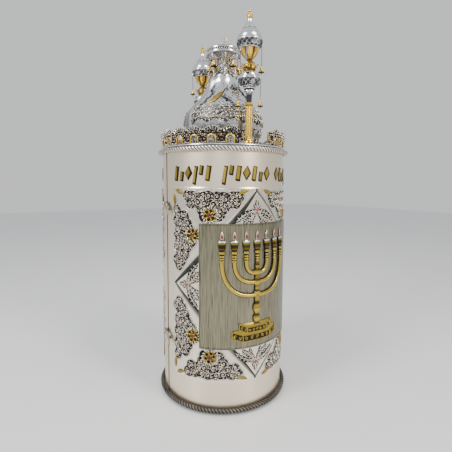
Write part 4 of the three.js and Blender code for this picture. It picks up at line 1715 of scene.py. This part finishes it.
@dataclass
class Bells:
    """Small gilt bells and the silver chains that carry them."""

    mouth: float = 6.2
    length: float = 13.5
    link: float = 3.5
    wire: float = 0.5

    def bell(self, stock: Stock, x: float, y: float, top: float, scale: float = 1.0) -> None:
        """Add a bell hung from a point.

        Args:
            stock: The gilt Stock, which is flat.
            x: Its axis.
            y: Its axis.
            top: Height of its loop.
            scale: Its size beside the usual one.
        """
        outline = np.array([[0.9, 0], [1.5, -0.6], [0.8, -1.6], [1.4, -2.2], [2.5, -3.2], [2.9, -6],
                            [3.5, -10], [5.0, -12.6], [6.0, -13.2], [6.0, -14.4], [4.9, -15.0]])
        outline = outline * [self.mouth / 6.0 * scale, self.length / 15.0 * scale]
        # Painted shade inside the mouth and in the groove under the loop.
        recess = np.array([0, 0.2, 0.8, 0.2, 0, 0, 0.15, 0.3, 0, 0.75, 1.0])
        angles = turns_of(12)
        stock.turned(outline[::-1, 0], top + outline[::-1, 1], angles, recess[::-1], (x, y))
        clapper = np.array([[0.7, -13.5], [1.6, -15], [1.7, -16.5], [0.7, -17.6]]) * scale
        stock.turned(clapper[::-1, 0], top + clapper[::-1, 1], angles[::2], 0.2, (x, y))

    def chain(self, stock: Stock, x: float, y: float, top: float, bottom: float) -> None:
        """Add a chain of round links that hangs straight down.

        Args:
            stock: The silver Stock, which is flat.
            x: Its axis.
            y: Its axis.
            top: Height of its upper end.
            bottom: Height of its lower end.
        """
        count = max(2, round((top - bottom) / (self.link * 0.72)))
        levels = np.linspace(top - self.link / 2, bottom + self.link / 2, count)[:, None]
        turn = turns_of(8)
        wide, tall = 0.30 * self.link * np.cos(turn), 0.5 * self.link * np.sin(turn)
        for first, (dx, dy) in enumerate(((1.0, 0.0), (0.0, 1.0))):
            links = xyz(x + dx * wide, y + dy * wide, levels[first::2] + tall)
            stock.rod(links, self.wire, self.wire, 4, up=(dy, dx, 0), closed=True, dark=0.5)


@dataclass
class Canopy(SubAssembly):
    """The little crown on the dome: curled arms, hanging bells, a cap and a two-eyed leaf."""

    arms: int = 4
    neck: float = 30.0
    bell_reach: float = 35.0
    bell_places: dict[Half, tuple[float, ...]] = field(
        default_factory=lambda: {Half.FRONT: (-67.0, 9.0, 77.0), Half.REAR: (-31.0, 41.0)})
    bells: Bells = field(default_factory=Bells)

    def build(self) -> None:
        """Make the core, the arms, the bells and the leaf on top."""
        self._core()
        self._arms_and_bells()
        self._top_leaf()

    def _core(self) -> None:
        """Make the neck and the ringed cap."""
        outline = np.array([
            [28.5, 722.3], [28, 724], [24, 727], [21.5, 731], [17.5, 738], [15.5, 746], [16.5, 754],
            [22, 761], [33, 765.5], [38, 768], [40, 770.5], [40, 773], [38.6, 774], [38.6, 777],
            [40, 778], [40, 780.5], [38, 782], [34.5, 784], [28, 787.2], [20, 790], [12, 792], [3, 793],
        ])
        # Painted shade in the groove between the cap's two rims, under their edges and at the neck's foot.
        recess = np.array([0.2, 0.7, 0.1, 0.0, 0.1, 0.0, 0.0, 0.05, 0.15, 0.5, 0, 0.1, 0.9, 0.9, 0.1, 0,
                           0.7, 0.1, 0.1, 0.2, 0.4, 0.2])
        angles = np.linspace(-math.pi / 2, math.pi / 2, 73)
        wave = 1 + 0.035 * np.abs(np.sin(8 * angles))[None, :] * (outline[:, 1:] > 783)
        stock = self.half.stock(flat=True)
        stock.turned(outline[:, :1] * wave, outline[:, 1], angles, recess)
        self.hand_over(stock, "canopy_core", Slot.BRIGHT, Finish.POLISHED, ["canopy"], 35)

    def _arms_and_bells(self) -> None:
        """Make the curled arms, the beads of the cap and the bells under its rim."""
        silver = self.half.stock(radius=self.neck)
        gilt, links = self.half.stock(flat=True), self.half.stock(flat=True)
        for k in range(self.arms):
            angle = math.radians(-90 + 180 * (k + 0.5) / self.arms)
            course = smooth_through([(-1, 720), (4.5, 727), (1, 736), (-6, 743), (-6, 751), (0, 757),
                                     (7.5, 759), (10, 764), (6, 768)], 33)
            arc = self.neck * angle
            silver.rod(xyz(arc, course[:, 1], course[:, 0]), 1.5, 1.3, 8, dark=0.9)
            foot = curl_paths([arc, 722.5, 0.8], 3.6, math.pi / 2, (-1) ** k, 1.3, 13)
            silver.rod(foot, 0.9, 1.2, 6, dark=1.0)
            silver.beads([arc, 731.5, 2.6], 1.5, 2.0, 8)
            for shift, level, depth in ((6.5, 745.0, -11.5), (-6.5, 751.0, -11.5), (11.0, 735.0, -8.5),
                                        (0.0, 757.0, -9.0), (11.5, 758.5, -8.0)):
                curl = curl_paths([arc + shift, level, depth], 5.2, 0.4, 1, 1.1, 11)
                silver.rod(curl, 1.0, 1.6, 5, dark=0.7)
            rim = self.neck * (angle + np.linspace(-0.32, 0.32, 6))
            silver.beads(xyz(rim, 775.5, 8.3), 1.5, 1.5, 8)
        for degrees in self.bell_places[self.half]:
            angle = math.radians(degrees)
            x, y = math.cos(angle), math.sin(angle)
            self.bells.bell(gilt, self.bell_reach * x, self.bell_reach * y, 755.0, 1.25)
            self.bells.chain(links, self.bell_reach * x, self.bell_reach * y, 769.5, 754.2)
            reach = np.array([23, 25.5, 25, 21])
            gilt.rod(xyz(reach * x, reach * y, [728, 731, 735, 738]), np.array([1.0, 2.8, 2.4, 0.8]),
                     np.array([0.8, 2.4, 2.0, 0.8]), 8, up=(x, y, 0.3), dark=0.9)
        self.hand_over(silver, "canopy_arms", Slot.BRIGHT, Finish.CHASED, crease=70)
        self.hand_over(gilt, "canopy_bells", Slot.GILT, Finish.GILT, crease=50)
        self.hand_over(links, "canopy_links", Slot.BRIGHT, Finish.POLISHED)

    def _top_leaf(self) -> None:
        """Make this half of the flat leaf that crowns the case."""
        stock = self.half.stock(flat=True)
        turn = turns_of(20)
        ring = xyz(8.0 + 4.2 * np.cos(turn), 0, 802.8 + 4.9 * np.sin(turn))
        stock.rod(ring, 2.45, 1.45, 8, up=(0, 1, 0), closed=True, dark=0.1)
        for knots, wide in (([(2.0, 795), (5, 796), (9, 795.6)], 1.75),
                            ([(2.1, 798), (2.3, 803), (3.6, 808), (2.2, 808)], 1.9)):
            x, z = smooth_through(knots, 11).T
            stock.rod(xyz(x, 0, z), wide, 1.45, 8, up=(0, 1, 0), dark=0.1)
        self.hand_over(stock, "crowning_leaf", Slot.BRIGHT, Finish.WALL, ["top_leaf"])


@dataclass
class Finial(SubAssembly):
    """A tall finial: fluted shaft, two pierced balls, leafy cups, spire, chains and bells."""

    offset: float = 109.0
    upper_bells: int = 3
    bell_reach: float = 26.0
    bells: Bells = field(default_factory=Bells)
    toward: float = -33.3
    upper_turn: float = -13.0
    sides: int = 128

    def build(self) -> None:
        """Make the turned pieces, then the leaves, chains and bells."""
        self.angles = turns_of(self.sides)
        self._shaft()
        self._lower_ball()
        self._leaf_cup()
        self._globe()
        self._spire()
        self._hangings()

    def _turned(self, outline: Array, recess: Array, wave: Array | float = 0.0) -> Stock:
        """Return a body turned on the finial's axis.

        Args:
            outline: Its (radius, height) rows.
            recess: Blackness of each row, or of each row and angle.
            wave: Share that its radii swell by.

        Returns:
            Stock with the body in it.
        """
        stock = self.half.stock(flat=True)
        stock.turned(outline[:, :1] * (1 + wave), outline[:, 1], self.angles, recess, (self.offset, 0))
        return stock

    def _around(self, reach: Array | float, angle: Array | float, level: Array | float) -> Array:
        """Return points at a reach and an angle from the finial's axis."""
        return spun(self.offset, 0, reach, angle, level)

    def _shaft(self) -> None:
        """Make the gilt fluted shaft on its beaded foot."""
        outline = np.array([[8.6, 557.6], [9.4, 558.2], [9.4, 560], [8.4, 561.4], [9.6, 563],
                            [9.2, 565], [7.2, 566.4], [7.2, 568], *[[7.3, z] for z in
                            np.linspace(570, 636, 8)], [7.2, 638], [8.0, 639.5], [8.2, 642], [6.8, 644],
                            [5.4, 645]])
        fluted = ((outline[:, 1] > 568.5) & (outline[:, 1] < 637)).astype(float)[:, None]
        flute = np.abs(np.sin(4 * self.angles + 0.3))[None, :] ** 0.7
        # Painted shade in the flutes, and in the grooves at the shaft's foot and below its top.
        recess = np.clip(fluted * (1.1 - 2.2 * flute), 0, 1)
        recess[[3, 6, 16], :] = 0.9
        stock = self._turned(outline, recess, -fluted * 0.17 * (1 - flute))
        stock.beads(self._around(9.3, turns_of(14), 560.6), 1.5, 2.2, 8)
        self.hand_over(stock, "fluted_shaft", Slot.GILT, Finish.GILT, ["finial_shaft"], 35)

    def _lower_ball(self) -> None:
        """Make the dark neck, the ringed collar and the pierced silver ball."""
        outline = np.array([[5.2, 645.3], [5.6, 650], [5.8, 658], [6.6, 661], [9.7, 663.4],
                            [11.8, 665.4], [11.8, 667.2], [9.4, 668.4], [9.4, 669.8], [12.4, 671],
                            [12.6, 673], [11.2, 674.4], *smooth_through(
                                [[14.5, 676], [18, 678.2], [21.2, 681.5], [23, 685.5], [23.5, 689.5],
                                 [23.2, 693], [21.8, 697], [19.4, 700.8], [16.2, 703.8], [12, 706.7]],
                                38)])
        level = outline[:, 1:]
        pierced = self._lattice(level, 7, 0.36, 677, 689.5)
        chased = ((level >= 688) & (level < 705)) * np.clip(
            0.75 - 3 * np.abs(np.sin(5 * self.angles + np.sin(level * 0.55) * 1.6)), 0, 1)
        # The neck is dark; the grooves between the collar's rings get painted shade.
        rings = np.interp(outline[:, 1], [645, 659, 662, 667.9, 668.4, 669.8, 670.4, 674, 674.6, 676],
                          [0.9, 0.9, 0, 0, 1, 1, 0, 0, 0.8, 0.1])[:, None]
        recess = np.clip(rings * (level < 677) + pierced + chased * 0.7, 0, 1)
        stock = self._turned(outline, recess, -0.02 * pierced)
        self.hand_over(stock, "pierced_ball", Slot.BRIGHT, Finish.POLISHED,
                       ["finial_lower_ball"], 35)

    def _lattice(self, level: Array, strands: int, steep: float, low: float, high: float) -> Array:
        """Return a lattice of dark diamonds, painted shade where the pierced openings show the dark inside.

        Args:
            level: Heights, as (rows, 1).
            strands: Strands each way round half of the body.
            steep: Their turn in radians per mm of height.
            low: Where the lattice starts.
            high: Where it ends.

        Returns:
            The blackness, as (rows, angles).
        """
        across = strands * self.angles[None, :]
        strand = np.minimum(np.abs(np.sin(across + steep * level)), np.abs(np.sin(across - steep * level)))
        rows = len(level)
        cells = np.random.default_rng(strands).random((rows // 5 + 1, self.sides // 8))
        cells = np.kron(cells, np.ones((5, 8)))[:rows]
        share = 0.4 + 0.6 * (cells > 0.3)
        return ((level > low) & (level < high)) * np.clip(strand * 3.6 - 0.2, 0, 1) * share

    def _leaf_cup(self) -> None:
        """Make the gilt collar and the lobed cup that carries the globe."""
        outline = np.array([[10.5, 707], [12.2, 709], [13.2, 712], [13.4, 716], [11.4, 720],
                            [8.5, 725], [5.6, 727.5], [4.8, 729.5], [6.2, 732], [10.5, 736],
                            [14.6, 740.5], [17.0, 745], [18.4, 749], [17, 750]])
        level = outline[:, 1:]
        lobe = np.abs(np.sin(3 * self.angles))[None, :]
        upper = np.clip((level - 731) / 8, 0, 1)
        wave = upper * (0.14 * lobe - 0.10)
        # Painted shade between the cup's lobes and on the collar between its petals.
        recess = np.clip(upper * (1.1 - 1.6 * lobe) + (1 - upper) * 0.4 + (level < 731) * 0.3, 0, 1)
        stock = self._turned(outline, recess, wave)
        for angle in turns_of(8):
            self._petal(stock, angle, ((0, 10.5), (0.35, 14.2), (0.7, 15.8), (1, 19.5)),
                        ((0, 708.5), (0.5, 715), (0.8, 719), (1, 718.5)), 4.2, 0.45, 0.2, 0.6)
        for angle in turns_of(6) + math.pi / 6:
            self._petal(stock, angle, ((0, 7), (0.4, 13.5), (0.8, 18.6), (1, 21.0)),
                        ((0, 731), (0.4, 739), (0.8, 748), (1, 749.5)), 5.6, 0.55, -0.3, 0.5)
        self.hand_over(stock, "leafy_cup", Slot.GILT, Finish.GILT, ["finial_leaf_cup"], 45)

    def _petal(self, stock: Stock, angle: float, reach: Sequence[tuple[float, float]],
               level: Sequence[tuple[float, float]], width: float, widest: float, tilt: float,
               dark: float) -> None:
        """Add one petal of the cup or its collar.

        Args:
            stock: Where it goes.
            angle: The angle that it points to.
            reach: Its reach from the axis, at shares of its length.
            level: Its height, at shares of its length.
            width: Half its width.
            widest: Where along it that width is.
            tilt: How far its face tilts up.
            dark: Blackness of its back.
        """
        t = np.linspace(0, 1, 9)
        path = self._around(np.interp(t, *zip(*reach)), angle, np.interp(t, *zip(*level)))
        stock.rod(path, width * leaf_width(9, widest) + 0.2, 0.9, 6,
                  up=(math.cos(angle), math.sin(angle), tilt), dark=dark)

    def _globe(self) -> None:
        """Make the globe, chased and pierced below and smooth in its onion neck."""
        outline = smooth_through([[19.6, 750.3], [25, 756], [27.4, 765], [25.6, 773], [21, 781],
                                  [16.2, 788], [11.2, 796], [7.2, 803], [5.2, 808.5]], 54)
        level = outline[:, 1:]
        pierced = self._lattice(level, 8, 0.34, 751.5, 764.5)
        swirl = np.abs(np.sin(5 * self.angles[None, :] + np.sin(0.42 * (level - 768)) * 1.5))
        chased = ((level >= 765) & (level < 786)) * np.clip(0.85 - 3.0 * swirl, 0, 1)
        # Painted shade in the groove at the onion neck and through the piercings of the lower globe; the
        # swirls are dark lines of the chasing.
        ring = np.exp(-((level - 788.5) / 0.9) ** 2)
        recess = np.clip(pierced + 0.8 * chased + ring, 0, 1)
        stock = self._turned(outline, recess, -0.02 * pierced - 0.03 * ring)
        self.hand_over(stock, "chased_globe", Slot.BRIGHT, Finish.POLISHED, ["finial_globe"], 60)

    def _spire(self) -> None:
        """Make the gilt spire."""
        outline = smooth_through([[4.6, 808.8], [5.6, 812], [6, 816], [4.8, 820.5], [2.6, 822.5],
                                  [3.2, 824.5], [1.2, 829]], 22)
        # Painted shade in the grooves at the foot and the waist of the spire.
        recess = np.interp(outline[:, 1], [808, 809.4, 821.5, 822.6, 823.6], [0.8, 0, 0.1, 0.8, 0])
        flute = 0.05 * np.abs(np.sin(4 * self.angles))[None, :]
        stock = self._turned(outline, recess, -flute)
        self.hand_over(stock, "gilt_spire", Slot.GILT, Finish.GILT, ["finial_spire"], 35)

    def _hangings(self) -> None:
        """Make the two tiers of chains and bells."""
        links, gilt = self.half.stock(flat=True), self.half.stock(flat=True)
        upper = [self.toward + self.upper_turn + 360 * k / self.upper_bells for k in range(self.upper_bells)]
        lower = [self.toward - 60, self.toward + 60, self.toward + 180]
        for tier, top, hang, start in ((upper, 757, 719, 25.5), (lower, 690, 646, 23.3)):
            for degrees in tier:
                angle = math.radians(degrees)
                x, y, _ = self._around(self.bell_reach, angle, 0)
                self.bells.chain(links, x, y, top, hang)
                self.bells.bell(gilt, x, y, hang + 0.6)
                bend = np.array([start - 1.5, *(self.bell_reach + np.array([-0.6, 0.4, 0]))])
                hook = self._around(bend, angle, top + np.array([1.5, 1.8, 0, -1.6]))
                links.rod(hook, 0.6, 0.6, 5, up=(-math.sin(angle), math.cos(angle), 0), dark=0.3)
        self.hand_over(links, "finial_chains", Slot.BRIGHT, Finish.POLISHED, crease=60)
        self.hand_over(gilt, "finial_bells", Slot.GILT, Finish.GILT, crease=50)


# ---- fittings, studio and camera ------------------------------------------------------------


@dataclass
class Fittings:
    """The hinges and clasps, which keep their CAD shapes."""

    levels: tuple[str, ...] = ("lower", "upper")
    parts: tuple[str, ...] = ("hinge_rear_leaf", "hinge_front_leaf", "hinge_pin", "clasp_pivot",
                              "clasp_hook", "clasp_knob")

    def build(self) -> None:
        """Give every hinge and clasp node its finish."""
        for level, part in product(self.levels, self.parts):
            Finish.WORN.dress(f"{level}_{part}")


@dataclass
class Lamp:
    """A soft square light that looks at the middle of the case."""

    name: str
    place: tuple[float, float, float]
    size: float
    power: float
    colour: Colour = (1.0, 1.0, 1.0)
    target: tuple[float, float, float] = (0.0, 0.0, 0.35)

    def hang(self) -> None:
        """Make the light."""
        light = bpy.data.lights.new(self.name, "AREA")
        light.shape = "SQUARE"
        light.size = self.size
        light.energy = self.power
        light.color = self.colour
        thing = bpy.data.objects.new(self.name, light)
        aim = Vector(self.target) - Vector(self.place)
        thing.rotation_euler = aim.to_track_quat("-Z", "Y").to_euler()
        thing.location = self.place
        bpy.context.scene.collection.objects.link(thing)


@dataclass
class Studio:
    """A plain pale floor, soft lights and the camera."""

    sensor: float = 36.0
    lens: float = 27.644
    distance: float = 0.8265085
    height: float = 0.4747527
    pitch: float = 0.0825485
    yaw: float = 0.0075633
    roll: float = 0.0035689
    bearing: float = math.pi / 2 - 0.509081
    shift: tuple[float, float] = (0.0009, -0.0269)
    near: float = 0.02
    sky: tuple[float, float, float, float] = (0.76, 0.77, 0.78, 1.0)
    sky_strength: float = 0.96
    side: float = 6.0
    lamps: tuple[Lamp, ...] = (
        Lamp("left", (0.35, -2.1, 1.5), 0.7, 28.0, (1.0, 0.985, 0.96)),
        Lamp("right", (2.1, 0.75, 1.4), 0.6, 26.0, (1.0, 0.94, 0.86)),
        Lamp("front", (1.6, -1.1, 0.9), 0.5, 2.0),
        Lamp("upper left", (0.1, -0.95, 2.1), 0.45, 13.0),
        Lamp("upper right", (0.85, 0.35, 2.1), 0.45, 13.0, (1.0, 0.97, 0.93)),
    )

    def build(self) -> None:
        """Make the floor, the sky, the lights and the camera."""
        self._floor()
        world = bpy.data.worlds.new("pale room")
        world.use_nodes = True
        sky = world.node_tree.nodes["Background"].inputs
        sky["Color"].default_value = self.sky
        sky["Strength"].default_value = self.sky_strength
        bpy.context.scene.world = world
        for lamp in self.lamps:
            lamp.hang()
        self._camera()

    def _floor(self) -> None:
        """Make the pale floor."""
        mesh = bpy.data.meshes.new("floor")
        corners = [(x * self.side, y * self.side, 0) for x, y in QUARTERS]
        mesh.from_pydata(corners, [], [(0, 1, 2, 3)])
        tree = Tree("pale floor")
        cloud = tree.noise((3.0, 3.0, 3.0), 3.0)
        tree.shade(Base_Color=tree.blend(cloud, (0.78, 0.79, 0.81, 1), (0.84, 0.84, 0.85, 1)),
                   Roughness=0.35)
        mesh.materials.append(tree.material)
        floor = bpy.data.objects.new("floor", mesh)
        bpy.context.scene.collection.objects.link(floor)

    def _camera(self) -> None:
        """Make the camera at its fitted place."""
        yaw, pitch = self.yaw, self.pitch
        forward = np.array([math.sin(yaw) * math.cos(pitch), math.cos(yaw) * math.cos(pitch),
                            -math.sin(pitch)])
        right = np.array([math.cos(yaw), -math.sin(yaw), 0])
        up = np.cross(right, forward)
        across = right * math.cos(self.roll) + up * math.sin(self.roll)
        above = -right * math.sin(self.roll) + up * math.cos(self.roll)
        cos, sin = math.cos(self.bearing), math.sin(self.bearing)
        spin = np.array([[cos, -sin, 0], [sin, cos, 0], [0, 0, 1]])
        place = np.eye(4)
        place[:3, :3] = spin @ np.column_stack([across, above, -forward])
        place[:3, 3] = spin @ np.array([0, -self.distance, self.height])
        camera = bpy.data.cameras.new("camera")
        camera.sensor_width = self.sensor
        camera.lens = self.lens
        camera.shift_x, camera.shift_y = self.shift
        camera.clip_start = self.near
        thing = bpy.data.objects.new("camera", camera)
        thing.matrix_world = Matrix(place.tolist())
        bpy.context.scene.collection.objects.link(thing)
        bpy.context.scene.camera = thing


def main() -> None:
    """Build the case, its crown and its fittings, then the studio."""
    logging.basicConfig(level=logging.INFO, format="%(message)s")
    Studio().build()
    for half, part in product(Half, (CaseBody, RopeMouldings, StrokeBand, ScrollField, RaisedDiamond,
                                     CentrePanel, Gallery, Dome, Canopy, Finial)):
        part(half).build()
    Lampstand(Half.FRONT).build()
    Fittings().build()


if __name__ == "__main__":
    main()
